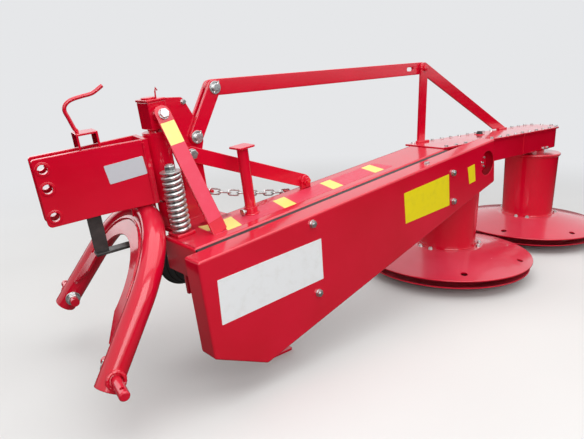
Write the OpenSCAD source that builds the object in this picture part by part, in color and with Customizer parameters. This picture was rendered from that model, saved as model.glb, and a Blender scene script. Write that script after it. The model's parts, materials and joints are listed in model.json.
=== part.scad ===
// Two-drum rotary mower for a three-point hitch, standing parked with its arm swung back.
// Millimetres. +X runs towards the tractor, +Y to the left, +Z up, the ground is Z = 0.

/* [Placing] */
// Shift along X that centres the whole machine over the origin
shift_x = -274.96; // [-400:1:-150]
// Shift along Y that centres the whole machine over the origin
shift_y = 103.271; // [50:1:200]
// Pitch of the parked arm, its hitch end lower than its hub end
arm_pitch = 7; // [4:0.5:10]
// Hub axis ahead of the first drum axis
hub_x = 67; // [40:1:90]
// Hub axis above the ground
hub_z = 535; // [500:1:570]
// Turn of the hitch about the swing pin, seen from above
hitch_yaw = -11; // [-20:1:0]

/* [Drums] */
// Distance between the two drum axes
drum_spacing = 800; // [780:5:860]
// Radius of a drum tube where it stands on its disc
drum_foot_r = 129; // [110:1:150]
// Radius of a drum tube under its cap ring
drum_top_r = 135; // [115:1:150]
// Wall of a drum tube
drum_wall = 5; // [3:0.5:8]
// Top face of a drum
drum_top_z = 470; // [430:1:480]
// Height of the cap ring round the drum top
ring_h = 14; // [8:1:20]
// How far the cap ring stands out from the drum tube
ring_out = 9; // [6:1:9]
// Thickness of the plate that closes a drum top
drum_cap_t = 10; // [6:1:16]

/* [Discs and knives] */
// Radius of the conical working disc at its rim
disc_rim_r = 380; // [350:1:395]
// Underside of the disc rim above the ground
disc_rim_z = 78; // [70:1:90]
// Sheet thickness of the working disc
disc_t = 6; // [4:0.5:10]
// Top of the flat middle of the working disc
disc_seat_z = 134; // [120:1:150]
// Radius of the flat middle of the working disc
disc_seat_r = 160; // [145:1:180]
// Radius of the hub hole in the working disc
disc_hole_r = 40; // [30:1:60]
// Knives on each drum
knife_count = 3; // [2:1:4]
// Length of a knife
knife_len = 96; // [80:1:120]
// Width of a knife
knife_w = 46; // [35:1:55]
// Thickness of a knife
knife_t = 4; // [3:0.5:6]
// Circle that carries the knife pins
knife_pin_r = 322; // [290:1:340]
// Radius of a knife pin
knife_pin_rad = 8; // [6:0.5:12]
// Underside of the knives above the ground
knife_z = 65; // [60:1:72]
// Length of a knife pin head below its knife
knife_head_h = 5; // [3:0.5:8]

/* [Slide discs] */
// Radius of the flat sole of a slide disc
sole_r = 232; // [180:1:280]
// Radius of a slide disc at its rim
slide_rim_r = 370; // [340:1:378]
// Height of the slide disc rim above the ground
slide_rim_z = 46; // [30:1:50]
// Sheet thickness of a slide disc
slide_t = 5; // [3:0.5:8]
// Radius of the boss on a slide disc
slide_boss_r = 42; // [32:1:60]
// Top of the boss on a slide disc
slide_boss_z = 70; // [50:1:90]
// Radius of the standing spindle inside a drum
spindle_r = 22.5; // [18:0.5:30]
// Play between the spindle and what turns on it
spindle_play = 0.05; // [0.03:0.01:0.1]
// Free height under the lower end of the spindle
spindle_gap = 3; // [2:0.5:6]

/* [Cutter beam] */
// Half width of the beam over its walls
beam_half_w = 83; // [70:1:90]
// Wall thickness of the beam
beam_wall = 8; // [6:1:12]
// Bottom of the beam above the ground
beam_bottom_z = 492; // [485:1:500]
// Height of the beam walls
beam_wall_h = 102; // [90:1:110]
// Thickness of the bolted lid
lid_t = 8; // [5:1:12]
// Overhang of the lid past the walls
lid_over = 12; // [6:1:14]
// How far the beam reaches ahead of the first drum axis
beam_front = 196; // [170:1:210]
// How far the beam reaches behind the second drum axis
beam_rear = 150; // [120:1:180]
// Radius of the bearing neck under the beam
neck_r = 62; // [50:1:75]
// Play between a bearing neck and the drum that turns on it
neck_play = 0.05; // [0.03:0.01:0.1]
// Depth of a bearing neck inside its drum
neck_in = 40; // [25:1:60]
// Radius of the breather plug on the lid
plug_r = 13; // [8:1:20]
// Height of the breather plug
plug_h = 16; // [8:1:25]
// Breather plug behind the first drum axis
plug_back = 310; // [200:5:400]
// Plain block that stands for the gears and shafts inside the beam, half width
gear_half_w = 42; // [30:1:60]
// Height of that block
gear_h = 64; // [40:1:80]
// Gap of that block to the beam floor
gear_lift = 6; // [2:1:12]

/* [Hub] */
// Radius of the hub trunnion
hub_r = 44; // [35:1:55]
// Play of the trunnion in its cheek
hub_play = 0.05; // [0.03:0.01:0.1]
// Radius of the flange on the trunnion
hub_flange_r = 58; // [50:1:70]
// Thickness of the flange on the trunnion
hub_flange_t = 12; // [8:1:20]
// How far the trunnion stands out of its cheek
hub_out = 8; // [4:1:12]

/* [Upright frame] */
// Centre plane of the upper linkage, to the right of the drum line
link_y = -103; // [-110:1:-98]
// Thickness of the upper linkage plates
link_t = 12; // [8:1:14]
// Side gap between neighbouring linkage plates
link_gap = 2; // [1.5:0.5:3]
// Top eye of the upright frame along the arm, from the hub
eye_u = -10; // [-30:1:10]
// Top eye of the upright frame above the arm line
eye_v = 386; // [360:1:400]
// Thickness of the upright frame bars
upright_t = 12; // [8:1:14]
// Width of the upright bar
upright_w = 46; // [36:1:60]
// Width of the diagonal bar
diagonal_w = 50; // [40:1:60]
// Thickness of the diagonal
diagonal_t = 10; // [7:1:13]
// Foot of the diagonal behind the first drum axis
diagonal_back = 600; // [500:5:700]
// Radius of the eye at the top of the upright
upright_eye_r = 24; // [22:1:32]
// Length of a foot plate under the upright frame
foot_plate_l = 80; // [60:1:120]
// Width of a foot plate
foot_plate_w = 18; // [14:1:40]
// Thickness of a foot plate
foot_plate_t = 8; // [5:1:12]

/* [Rocker and top bar] */
// Lower rocker pin along the arm, from the hub
rocker_u = 1163; // [1150:1:1168]
// Lower rocker pin above the arm line
rocker_v = 338; // [320:1:350]
// Upper rocker pin along the arm, from the hub
bar_u = 1072; // [1060:1:1080]
// Upper rocker pin above the arm line
bar_v = 472; // [455:1:480]
// Width of the rocker bars
rocker_w = 46; // [40:1:56]
// Thickness of each rocker bar
rocker_t = 10; // [8:1:12]
// Radius of the linkage pins
pin_r = 12; // [10:0.5:15]
// Play of the linkage pins
pin_play = 0.05; // [0.03:0.01:0.1]
// Play of the loose eye at the rear end of the top bar
loose_play = 1.3; // [1.2:0.1:1.8]
// Radius of the washers on the linkage pins
washer_r = 20; // [17:1:24]
// Thickness of a washer
washer_t = 4; // [3:0.5:6]
// Length of pin that stands past its washer
pin_end = 8; // [5:1:12]
// Height of the top bar
bar_h = 50; // [40:1:56]

/* [Arm frame] */
// Left face of the arm frame
frame_left = 133; // [125:1:140]
// Right face of the arm frame
frame_right = -42; // [-60:1:-30]
// Top face of the arm frame above the arm line
frame_top = 90; // [80:1:95]
// Depth of the arm frame
frame_h = 100; // [90:1:120]
// Wall of the arm frame
frame_wall = 6; // [5:1:10]
// Rear end of the arm frame from the hub
frame_rear = 172; // [165:1:200]
// Front end of the arm frame from the hub
frame_front = 1360; // [1340:1:1375]
// Thickness of the cheek that carries the hub
cheek_t = 12; // [8:1:12]
// How far the cheek reaches behind the hub
cheek_back = 66; // [60:1:80]
// Lower edge of the cheek under the hub
cheek_low = 60; // [50:1:62]
// Top of the cheek under the top of the arm frame
cheek_drop = 28; // [20:1:30]
// Radius of the boss that bears the hub
hub_boss_r = 60; // [54:1:66]
// Length of the boss inside the cheek
hub_boss_t = 22; // [12:1:26]
// Lap of the cheek along the frame
cheek_lap = 330; // [250:5:400]

/* [Belt guard] */
// Left face of the guard
guard_left = 216; // [205:1:225]
// Depth of the guard
guard_d = 70; // [60:1:70]
// Sheet thickness of the guard
guard_t = 3; // [2:0.5:5]
// Front end of the guard from the hub
guard_front = 1405; // [1390:1:1420]
// Rear end of the guard behind the hub
guard_rear = 60; // [54:1:70]
// Top edge of the guard above the arm line
guard_top = 88; // [80:1:95]
// Lower edge of the guard at its front end
guard_low_front = -200; // [-220:1:-180]
// Deepest point of the guard, along the arm
guard_deep_u = 1234; // [1200:1:1260]
// Deepest point of the guard, below the arm line
guard_deep_v = -303; // [-320:1:-280]
// Lower corner of the guard near the hub, along the arm
guard_low_u = 24; // [0:1:50]
// Lower corner of the guard near the hub, below the arm line
guard_low_v = -108; // [-120:1:-100]
// Lower rear corner of the guard
guard_rear_v = -96; // [-105:1:-88]
// Radius of the hub opening in the guard
guard_hole_r = 50; // [40:1:54]
// Radius of the stand-off tubes that carry the guard
standoff_r = 13; // [10:1:18]
// Radius of the plain disc that stands for the big belt pulley
pulley_big_r = 128; // [110:1:132]
// Width of the belt pulley
pulley_w = 44; // [36:1:46]
// Gap between the belt pulley and the guard sheet
pulley_gap = 8; // [6:1:10]

/* [Input shaft] */
// Input shaft along the arm, from the hub
input_u = 1240; // [1225:1:1255]
// Input shaft below the arm line
input_v = -50; // [-60:1:-45]
// Radius of the input shaft in its bearings
journal_r = 20; // [19:0.5:24]
// Radius of the input shaft's free end
input_r = 17.45; // [17:0.05:20]
// Play of the input shaft in its housing
input_play = 0.05; // [0.03:0.01:0.1]
// Radius of the input housing
housing_r = 48; // [40:1:55]
// How far the housing reaches to the right of the frame
housing_out = 22; // [12:1:30]
// How far the shaft stands out of its housing
input_out = 92; // [80:1:110]
// Length of the black cone round the shaft
cone_len = 108; // [90:1:120]
// Radius of the cone at its mouth
cone_mouth_r = 92; // [80:1:96]
// Wall of the cone
cone_t = 4; // [3:0.5:6]
// Half length of the plates that carry the housing
carrier_half = 78; // [70:1:90]
// Lower edge of those plates below the shaft
carrier_low = 64; // [58:1:80]
// Thickness of those plates
carrier_t = 12; // [8:1:16]

/* [Headstock] */
// Swing pin along the arm, from the hub
swing_u = 1279; // [1270:1:1290]
// Swing pin to the right of the drum line
swing_y = -120; // [-125:1:-112]
// Radius of the swing pin
king_r = 20; // [16:0.5:24]
// Play of the swing pin in the hitch sleeve
king_play = 0.05; // [0.03:0.01:0.1]
// Radius of the two fixed eyes
swing_eye_r = 34; // [30:1:38]
// Foot of the lower fixed eye above the arm line
low_eye_v = 90; // [88:1:92]
// Height of the lower fixed eye
low_eye_h = 78; // [70:1:82]
// Foot of the upper fixed eye
up_eye_v = 386; // [384:1:392]
// Height of the upper fixed eye
up_eye_h = 86; // [80:1:95]
// Upper eye block ahead of the swing axis
up_box_ahead = 24; // [22:1:34]
// Front edge of the spine behind the hitch sleeve
spine_u = 1226; // [1215:1:1230]
// Rear edge of the spine
spine_rear = 1150; // [1140:1:1170]
// Thickness of the base plate under the headstock
base_t = 14; // [10:1:18]
// Rear end of the base plate
base_rear = 1130; // [1100:1:1150]
// Radius of the cap on the swing pin
king_cap_r = 23; // [21:1:30]
// Height of the cap on the swing pin
king_cap_h = 5; // [4:1:12]

/* [Strut and brace] */
// Width of the flat strut
strut_w = 50; // [40:1:60]
// Thickness of the flat strut
strut_t = 8; // [6:1:12]
// Strut foot along the arm
strut_foot_u = 1242; // [1230:1:1250]
// Strut foot to the left of the drum line
strut_foot_y = 84; // [70:1:95]
// Strut head along the arm
strut_head_u = 1276; // [1255:1:1280]
// Strut head to the right of the drum line
strut_head_y = -74; // [-80:1:-68]
// Strut head above the arm line
strut_head_v = 452; // [440:1:460]
// Height of the flat brace
brace_h = 46; // [36:1:56]
// Thickness of the flat brace
brace_t = 10; // [8:1:12]
// Brace plane to the right of the drum line
brace_y = -20; // [-24:1:-16]
// Side place of the head of the brace
brace_head_y = -75; // [-77:1:-60]
// Brace head along the arm
brace_head_u = 1200; // [1190:1:1205]
// Brace head above the arm line
brace_head_v = 295; // [280:1:300]
// Brace foot along the arm
brace_foot_u = 812; // [800:1:820]
// Brace foot above the arm line
brace_foot_v = 114; // [112:1:125]
// Radius of the lug under the brace foot
lug_r = 20; // [18:0.5:21]

/* [Belt tensioner] */
// Spring axis along the arm
spring_u = 1316; // [1310:1:1325]
// Spring axis to the left of the drum line
spring_y = -4; // [-10:1:5]
// Mean radius of the spring
spring_r = 24; // [18:0.5:26]
// Radius of the spring wire
wire_r = 6; // [4:0.5:6.5]
// Turns of the spring
spring_turns = 10.5; // [8:0.5:12]
// Height of the spring
spring_h = 176; // [150:1:190]
// Radius of the spring bolt
bolt_r = 10; // [8:0.5:12]
// Thickness of the spring seat
seat_t = 10; // [6:1:14]
// Half width of the spring seat
seat_half = 30; // [27:1:33]

/* [Parking leg] */
// Leg axis behind the input shaft
leg_behind = 152; // [145:1:160]
// Leg axis to the left of the drum line
leg_y = 34; // [28:1:45]
// Radius of the leg tube
leg_r = 17; // [14:0.5:20]
// Play of the leg in its sleeve
leg_play = 0.4; // [0.3:0.1:0.6]
// Radius of the sleeve
sleeve_r = 21; // [20.5:0.5:26]
// How far the sleeve stands out under the arm frame
sleeve_under = 14; // [10:1:30]
// How far the sleeve stands out above the arm frame
sleeve_over = 24; // [20:1:40]
// Top of the leg above the arm line
leg_top = 298; // [290:1:310]
// Half length of the square foot
foot_half = 52; // [40:1:60]
// Thickness of the foot
foot_t = 8; // [6:1:12]
// Half length of the plate on top of the leg
leg_cap_half = 30; // [24:1:36]
// Thickness of the plate on top of the leg
leg_cap_t = 6; // [4:1:8]
// Radius of the locking screw
lock_r = 6; // [5:0.5:8]
// Length of the locking screw outside the sleeve
lock_len = 8; // [6:1:20]
// Radius of the head of the locking screw
lock_head_r = 11; // [9:1:14]

/* [Hitch mast] */
// Half gap between the mast plates for the top link
mast_gap_half = 26; // [22:0.5:32]
// Thickness of the mast plates
mast_t = 10; // [8:1:14]
// Front edge of the mast plates ahead of the swing pin
mast_front = 349; // [340:1:360]
// Bend line of the mast plates
mast_bend = 205; // [190:1:220]
// Rear edge of the mast plates
mast_rear = 56; // [52:1:62]
// How far the mast plates spread behind the bend
mast_spread = 20; // [14:1:24]
// Lower edge of the mast plates
mast_low = 181; // [178:1:186]
// Upper edge of the mast plates
mast_high = 371; // [365:1:374]
// Rake of the front lower corner
mast_corner = 18; // [10:1:26]
// Radius of the top link holes
toplink_r = 12.75; // [9.5:0.05:13]
// Upper hole ahead of the swing pin
hole_a_f = 326; // [318:1:330]
// Upper hole height
hole_a_v = 342; // [335:1:348]
// Middle hole height
hole_b_v = 288; // [280:1:295]
// Lower hole height
hole_c_v = 209; // [203:1:215]
// Radius of the hitch sleeve round the swing pin
hitch_sleeve_r = 38; // [34:1:42]
// Gap between the hitch sleeve and the fixed eyes
swing_gap = 8; // [6:1:12]
// Length of the saddle plate between the mast and the arch
saddle_len = 74; // [60:1:90]
// Height of the saddle plate above the mast plates' lower edge
saddle_up = 20; // [10:1:40]
// Thickness of the cross plate
cross_t = 14; // [10:1:18]
// Radius of the spacers between the mast plates
spacer_r = 13; // [10:1:18]
// Spacers ahead of the swing pin
spacer_f = 236; // [225:1:250]

/* [Hitch arch] */
// Tube radius of the arch
arch_r = 34; // [30:1:38]
// Wall of the arch tube
arch_wall = 7; // [5:1:10]
// Top of the arch ahead of the swing pin
arch_f = 77; // [74:1:84]
// Top of the arch above the arm line
arch_v = 144; // [138:1:146]
// Forward lean of the arch
arch_lean = 38; // [34:0.5:41]
// Bend radius of the arch
arch_bend_r = 258; // [250:1:262]
// Splay of the legs
arch_splay = 13; // [10:0.5:16]
// Straight length of each leg
arch_leg = 232; // [225:1:270]
// Distance of the lower pins from the leg end
arch_end = 42; // [38:1:50]
// Thickness of the arch web
web_t = 8; // [6:1:12]
// Radius of the opening in the web
web_hole_r = 176; // [165:1:190]
// Centre of that opening below the arch top
web_hole_s = 262; // [250:1:275]
// How far the web reaches down the legs
web_down = 330; // [300:1:350]
// Half width between the tips of the web
web_tip_half = 238; // [225:1:245]
// How far the web lies ahead of the tube centre
web_ahead = 16; // [12:1:22]

/* [Lower pins] */
// Half distance between the pin shoulders
shoulder_half = 341.5; // [335:0.5:345]
// Radius of the lower pins
lower_r = 14; // [11:0.5:14.5]
// Length of a lower pin past its shoulder
lower_len = 70; // [65:1:100]
// Radius of the shoulder collar
collar_r = 21; // [18:1:26]
// Thickness of the shoulder collar
collar_t = 18; // [12:1:20]
// Gap between the nut and the arch leg that it draws up to
nut_gap = 6; // [5:0.5:9]
// Stub on the inner side of a leg
stub_len = 46; // [36:1:56]
// Thickness of the nut on the stub
nut_t = 17; // [12:1:22]
// Radius of the nut on the stub
nut_r = 20; // [17:1:24]
// Radius of the linch pin hole
linch_r = 5.5; // [4:0.5:6.5]
// Linch pin hole before the pin end
linch_in = 20; // [14:1:26]

/* [Hook and strap] */
// Radius of the bent rod hook
rod_r = 5.5; // [4.5:0.5:7]
// Rear end of the hook bracket
hook_rear = 166; // [160:1:172]
// Length of the hook bracket
hook_len = 58; // [50:1:64]
// Foot of the rod hook ahead of the swing pin
hook_f = 214; // [210:1:216]
// Height of the hook bracket
hook_h = 44; // [36:1:50]
// Wall of the hook bracket
hook_t = 6; // [4:1:8]
// Rear edge of the shaft strap
strap_f = 204; // [196:1:210]
// Width of the shaft strap
strap_w = 40; // [34:1:46]
// Thickness of the shaft strap
strap_t = 8; // [6:1:10]
// Lower end of the shaft strap
strap_low = 66; // [58:1:74]
// Upper end of the shaft strap between the mast plates
strap_high = 262; // [240:1:280]
// Length of the arm at the lower end of the strap
strap_arm = 92; // [80:1:110]

/* [Chain] */
// Play of each chain link along the chain
link_slack = 0.3; // [0.2:0.1:0.8]
// Inside width of a chain link
link_wide = 11; // [9:1:14]
// Wire radius of a chain link
link_wire = 3; // [2.5:0.5:3.5]
// Links of the chain
link_count = 9; // [7:2:13]
// Chain start along the arm
chain_u = 1166; // [1162:1:1176]
// Chain start above the arm line
chain_v = 171; // [165:1:190]
// Chain end above the arm line
chain_end_v = 80; // [74:1:82]
// Sag of the chain
chain_sag = 6; // [4:1:12]
// Far end of the chain along the arm
chain_end_u = 850; // [835:1:870]
// Middle of the chain beside the arm frame
chain_aside = 18; // [17:0.5:22]
// Radius of the pegs that hold the chain
peg_r = 5; // [4:0.5:6]

/* [Fits] */
// Gap between curved faces that are welded or seated together
seat_gap = 0.3; // [0.2:0.05:0.5]

/* [Hidden] */
big = 3000;
lap = 0.01;
beam_top_z = beam_bottom_z + beam_wall_h;
lid_top_z = beam_top_z + lid_t;
drum_bottom_z = disc_seat_z;
ring_r = drum_top_r + ring_out;
beam_end_r = beam_half_w;
beam_end_x = -drum_spacing - beam_rear + beam_end_r;
cheek_in = frame_left - cheek_t;
guard_back = guard_left - guard_d;
pulley_y = guard_left - guard_t - pulley_gap - pulley_w;
spindle_low_z = slide_t + spindle_gap;
upright_y = link_y + link_t / 2 + link_gap + upright_t / 2;
ca = cos(arm_pitch);
sa = sin(arm_pitch);
eye_x = hub_x + ca * eye_u + sa * eye_v;
eye_z = hub_z - sa * eye_u + ca * eye_v;
diag_dx = eye_x + diagonal_back;
diag_dz = eye_z - lid_top_z;
diag_len = sqrt(diag_dx * diag_dx + diag_dz * diag_dz);
diag_angle = atan2(diag_dz, diag_dx);
rocker_du = bar_u - rocker_u;
rocker_dv = bar_v - rocker_v;
rocker_len = sqrt(rocker_du * rocker_du + rocker_dv * rocker_dv);
rocker_angle = atan2(rocker_dv, rocker_du);
bar_du = bar_u - eye_u;
bar_dv = bar_v - eye_v;
bar_len = sqrt(bar_du * bar_du + bar_dv * bar_dv);
bar_angle = atan2(bar_dv, bar_du);
link_half = link_t / 2;
leg_u = input_u - leg_behind;
leg_foot_v = (sa * leg_u - hub_z) / ca;
leg_foot_x = hub_x + ca * leg_u + sa * leg_foot_v;
rocker_near = link_y + link_half + link_gap;
rocker_far = link_y - link_half - link_gap - rocker_t;
frame_bottom = frame_top - frame_h;
housing_low_y = frame_right - housing_out;
housing_end_t = 14;
hitch_low = low_eye_v + low_eye_h + swing_gap;
hitch_high = up_eye_v - swing_gap;
strut_du = strut_head_u - strut_foot_u;
strut_dy = strut_head_y - strut_foot_y;
strut_dv = strut_head_v - frame_top;
strut_flat = sqrt(strut_du * strut_du + strut_dy * strut_dy);
strut_len = sqrt(strut_flat * strut_flat + strut_dv * strut_dv);
strut_side = atan2(-strut_dy, strut_dv);
strut_fore = asin(strut_du / strut_len);
brace_du = brace_head_u - brace_foot_u;
brace_dv = brace_head_v - brace_foot_v;
brace_dy = brace_y - brace_head_y;
brace_run = sqrt(brace_du * brace_du + brace_dy * brace_dy);
brace_len = sqrt(brace_run * brace_run + brace_dv * brace_dv);
brace_angle = atan2(brace_dv, brace_run);
brace_turn = atan2(brace_dy, brace_du);
spring_seat_v = frame_top + seat_t;
arch_turn = 90 - arch_splay;
arch_l0 = arch_bend_r * sin(arch_turn);
arch_s0 = arch_bend_r * (1 - cos(arch_turn));
pin_run = arch_leg - arch_end;
leg_mid_l = arch_l0 + pin_run * sin(arch_splay);
leg_mid_s = arch_s0 + pin_run * cos(arch_splay);
lower_f = arch_f + leg_mid_s * sin(arch_lean);
lower_v = arch_v - leg_mid_s * cos(arch_lean);
chain_du = chain_end_u - chain_u;
chain_dv = chain_end_v - chain_v;
link_pitch = sqrt(chain_du * chain_du + chain_dv * chain_dv) * 1.01 / link_count;
link_in = link_pitch + link_slack;
peg_shift = peg_r + link_pitch / 2 - link_in / 2 + link_slack / 2;
chain_y = frame_right - chain_aside;

red = [0.74, 0.05, 0.09];
dark = [0.08, 0.08, 0.08];
zinc = [0.72, 0.73, 0.72];
steel = [0.45, 0.45, 0.46];

$fn = 96;

// Places a shape drawn in ground coordinates of the cutter unit
module ground_place() {
    translate([shift_x, shift_y, 0]) children();
}

// Places a shape drawn along the level arm
module arm_place() {
    ground_place() translate([hub_x, 0, hub_z]) rotate([0, arm_pitch, 0]) children();
}

// Places a shape drawn about the swing pin
module hitch_place() {
    arm_place() translate([swing_u, swing_y, 0]) rotate([0, 0, hitch_yaw]) children();
}

// Places a shape drawn in the leaning plane of the arch, its Z up the plane
module arch_place() {
    hitch_place() translate([arch_f, 0, arch_v]) rotate([0, -arch_lean, 0]) children();
}

// A rod along Y from one side to the other
module rod_y(r, from, to) {
    translate([0, from, 0]) rotate([-90, 0, 0]) cylinder(r = r, h = to - from);
}

// A flat link between two eyes in the XZ plane, lying along +X
module flat_link(len, w, t) {
    translate([0, t / 2, 0]) rotate([90, 0, 0]) linear_extrude(height = t) {
        translate([0, -w / 2]) square([len, w]);
        circle(r = w / 2);
        translate([len, 0]) circle(r = w / 2);
    }
}

// Outline of the beam seen from above
module beam_outline(inset) {
    difference() {
        translate([beam_end_x, -beam_half_w + inset])
            square([beam_front - beam_end_x - inset, 2 * (beam_half_w - inset)]);
    }
    translate([beam_end_x, 0]) circle(r = beam_end_r - inset);
}

// Arm frame, an inverted channel with closed ends
module arm_frame() {
    color(red) difference() {
        arm_place() difference() {
            translate([frame_rear, frame_right, frame_bottom])
                cube([frame_front - frame_rear, frame_left - frame_right, frame_h]);
            translate([frame_rear + frame_wall, frame_right + frame_wall, frame_bottom - lap])
                cube([
                    frame_front - frame_rear - 2 * frame_wall,
                    frame_left - frame_right - 2 * frame_wall,
                    frame_h - frame_wall
                ]);
        }
        arm_place() translate([leg_u, leg_y, 0]) cylinder(r = sleeve_r, h = big);
    }
    color(red) arm_place() translate([chain_end_u + peg_shift, 0, chain_end_v + peg_shift / 5])
        rod_y(peg_r, chain_y - 2 * peg_r, frame_right);
}

// Side cheek that carries the hub
module hub_cheek() {
    color(red) arm_place() difference() {
        union() {
            rod_y(hub_boss_r, frame_left - hub_boss_t, frame_left + lap);
            translate([-cheek_back, frame_left, -cheek_low])
                cube([frame_rear + cheek_back, cheek_t, frame_top - cheek_drop + cheek_low]);
            translate([frame_rear - lap, frame_left, frame_bottom])
                cube([cheek_lap, cheek_t, frame_h - cheek_drop]);
        }
        rod_y(hub_r + hub_play, 0, big);
    }
}

// Bearing housing of the input shaft with its two carrier plates
module input_housing() {
    color(red) arm_place() difference() {
        translate([input_u, 0, input_v]) union() {
            rod_y(housing_r, housing_low_y, frame_left);
            translate([-carrier_half, frame_left - carrier_t, -carrier_low])
                cube([2 * carrier_half, carrier_t, carrier_low + frame_bottom - input_v]);
            translate([-carrier_half, frame_right, -carrier_low])
                cube([2 * carrier_half, carrier_t, carrier_low + frame_bottom - input_v]);
        }
        translate([input_u, 0, input_v]) {
            rod_y(journal_r + input_play, -big, big);
            rod_y(housing_r / 2, housing_low_y + housing_end_t, frame_left - housing_end_t);
        }
        translate([frame_rear, frame_right, frame_bottom])
            cube([frame_front - frame_rear, frame_left - frame_right, frame_h]);
    }
}

// Black cone round the free end of the input shaft
module input_cone() {
    color(dark) arm_place() translate([input_u, housing_low_y, input_v]) rotate([90, 0, 0])
        rotate_extrude() polygon([
            [housing_r / 2, 0], [housing_r + cone_t, 0], [cone_mouth_r, cone_len],
            [cone_mouth_r - cone_t, cone_len], [housing_r, cone_t], [housing_r / 2, cone_t]
        ]);
}

// Input shaft
module input_shaft() {
    color(steel) arm_place() translate([input_u, 0, input_v]) {
        rod_y(input_r, housing_low_y - input_out, housing_low_y);
        rod_y(journal_r, housing_low_y, pulley_y + pulley_w);
    }
}

// Side outline of the belt guard
module guard_outline(inset) {
    polygon([
        [-guard_rear + inset, guard_top - inset],
        [guard_front - inset, guard_top - inset],
        [guard_front - inset, guard_low_front + inset / 2],
        [guard_deep_u, guard_deep_v + inset],
        [guard_low_u, guard_low_v + inset],
        [-guard_rear + inset, guard_rear_v + inset]
    ]);
}

// Belt guard, a shallow sheet box open towards the arm
module guard_box() {
    color(red) arm_place() difference() {
        translate([0, guard_left, 0]) rotate([90, 0, 0])
            linear_extrude(height = guard_d) guard_outline(0);
        translate([0, guard_left - guard_t, 0]) rotate([90, 0, 0])
            linear_extrude(height = guard_d) guard_outline(guard_t);
        rod_y(guard_hole_r, guard_back, guard_left + lap);
    }
}

// Stand-off tubes between the frame and the guard
module guard_standoffs() {
    color(red) arm_place() {
        translate([frame_rear + cheek_lap + 3 * standoff_r, 0, frame_top - 2 * standoff_r])
            rod_y(standoff_r, frame_left, guard_left - guard_t);
        translate([input_u - 2 * pulley_big_r, 0, frame_bottom + 2 * standoff_r])
            rod_y(standoff_r, frame_left, guard_left - guard_t);
        translate([frame_front - standoff_r, 0, frame_top - 2 * standoff_r])
            rod_y(standoff_r, frame_left, guard_left - guard_t);
    }
}

// Plain disc that stands for the big belt pulley inside the guard
module belt_pulley() {
    color(steel) arm_place() translate([input_u, 0, input_v]) difference() {
        rod_y(pulley_big_r, pulley_y, pulley_y + pulley_w);
        rod_y(journal_r, pulley_y - lap, big);
    }
}

// Headstock: spine, fan plate, base plate and the two fixed eyes of the swing pin
module headstock() {
    color(red) arm_place() difference() {
        union() {
            translate([0, link_y + link_half, 0]) rotate([90, 0, 0]) linear_extrude(height = link_t)
                polygon([
                    [swing_u - king_r, low_eye_v], [swing_u - king_r, low_eye_v + low_eye_h - cone_t],
                    [spine_u, low_eye_v + low_eye_h + spacer_r], [spine_u, up_eye_v - spacer_r],
                    [swing_u - king_r, up_eye_v + cone_t], [swing_u - king_r, up_eye_v + up_eye_h],
                    [rocker_u + washer_r, up_eye_v + up_eye_h - washer_r / 2],
                    [rocker_u - 1.4 * washer_r, rocker_v + washer_r],
                    [rocker_u - 1.4 * washer_r, rocker_v - washer_r],
                    [spine_rear, rocker_v - 3 * washer_r], [spine_rear, low_eye_v]
                ]);
            translate([swing_u, swing_y, low_eye_v]) cylinder(r = swing_eye_r, h = low_eye_h);
            translate([swing_u - swing_eye_r, swing_y - swing_eye_r, up_eye_v])
                cube([swing_eye_r + up_box_ahead, 2 * swing_eye_r, up_eye_h]);
            translate([chain_u - peg_shift, 0, chain_v - peg_shift / 3])
                rod_y(peg_r, link_y, chain_y + 2 * peg_r);
            translate([base_rear, swing_y - swing_eye_r, low_eye_v - base_t])
                cube([
                    swing_u + swing_eye_r - base_rear,
                    frame_right - swing_y + swing_eye_r,
                    base_t
                ]);
        }
        translate([swing_u, swing_y, 0]) cylinder(r = king_r, h = big);
        translate([rocker_u, 0, rocker_v]) rod_y(pin_r + pin_play, -big, big);
    }
}

// Swing pin with its cap
module swing_pin() {
    color(steel) arm_place() translate([swing_u, swing_y, 0]) {
        translate([0, 0, low_eye_v - base_t])
            cylinder(r = king_r, h = up_eye_v + up_eye_h - low_eye_v + base_t);
        translate([0, 0, up_eye_v + up_eye_h]) cylinder(r = king_cap_r, h = king_cap_h);
    }
}

// Flat strut from the upper eye down to the arm frame
module flat_strut() {
    color(red) arm_place() difference() {
        translate([strut_foot_u, strut_foot_y, frame_top]) rotate([strut_side, 0, 0])
            rotate([0, strut_fore, 0]) translate([-strut_w / 2, -strut_t / 2, -strut_w])
            cube([strut_w, strut_t, strut_len + strut_w]);
        translate([0, frame_right, frame_top - big]) cube([big, frame_left - frame_right, big]);
        translate([swing_u - king_r - big, link_y - link_half, 0]) cube([big, link_t, big]);
    }
    color(red) arm_place() translate([strut_head_u, 0, strut_head_v - strut_w / 2])
        rod_y(washer_r, swing_y + swing_eye_r, strut_head_y);
}

// Flat brace from the spine back to the arm frame, with its bracket
module flat_brace() {
    color(red) arm_place() {
        translate([brace_foot_u, brace_y, brace_foot_v]) rotate([0, -brace_angle, -brace_turn])
            flat_link(brace_len, brace_h, brace_t);
        translate([brace_foot_u - lug_r, brace_y, frame_top])
            cube([2 * lug_r, brace_t * 1.5, brace_foot_v - frame_top]);
        translate([brace_head_u, 0, brace_head_v])
            rod_y(pin_r, link_y + link_half, brace_head_y);
    }
}

// Seat of the belt tension spring on the frame end
module spring_seat() {
    color(red) arm_place() difference() {
        translate([spring_u - seat_half, spring_y - seat_half, frame_top])
            cube([2 * seat_half, 2 * seat_half, seat_t]);
        translate([spring_u, spring_y, 0]) cylinder(r = bolt_r + seat_gap, h = big);
    }
}

// Points of one wire section on the spring
function spring_ring(i, n, m) = [
    for (j = [0 : m - 1])
    let (a = 360 * spring_turns * i / n, b = 360 * j / m, r = spring_r + wire_r * cos(b))
    [r * cos(a), r * sin(a), wire_r + (spring_h - 2 * wire_r) * i / n + wire_r * sin(b)]
];

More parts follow.
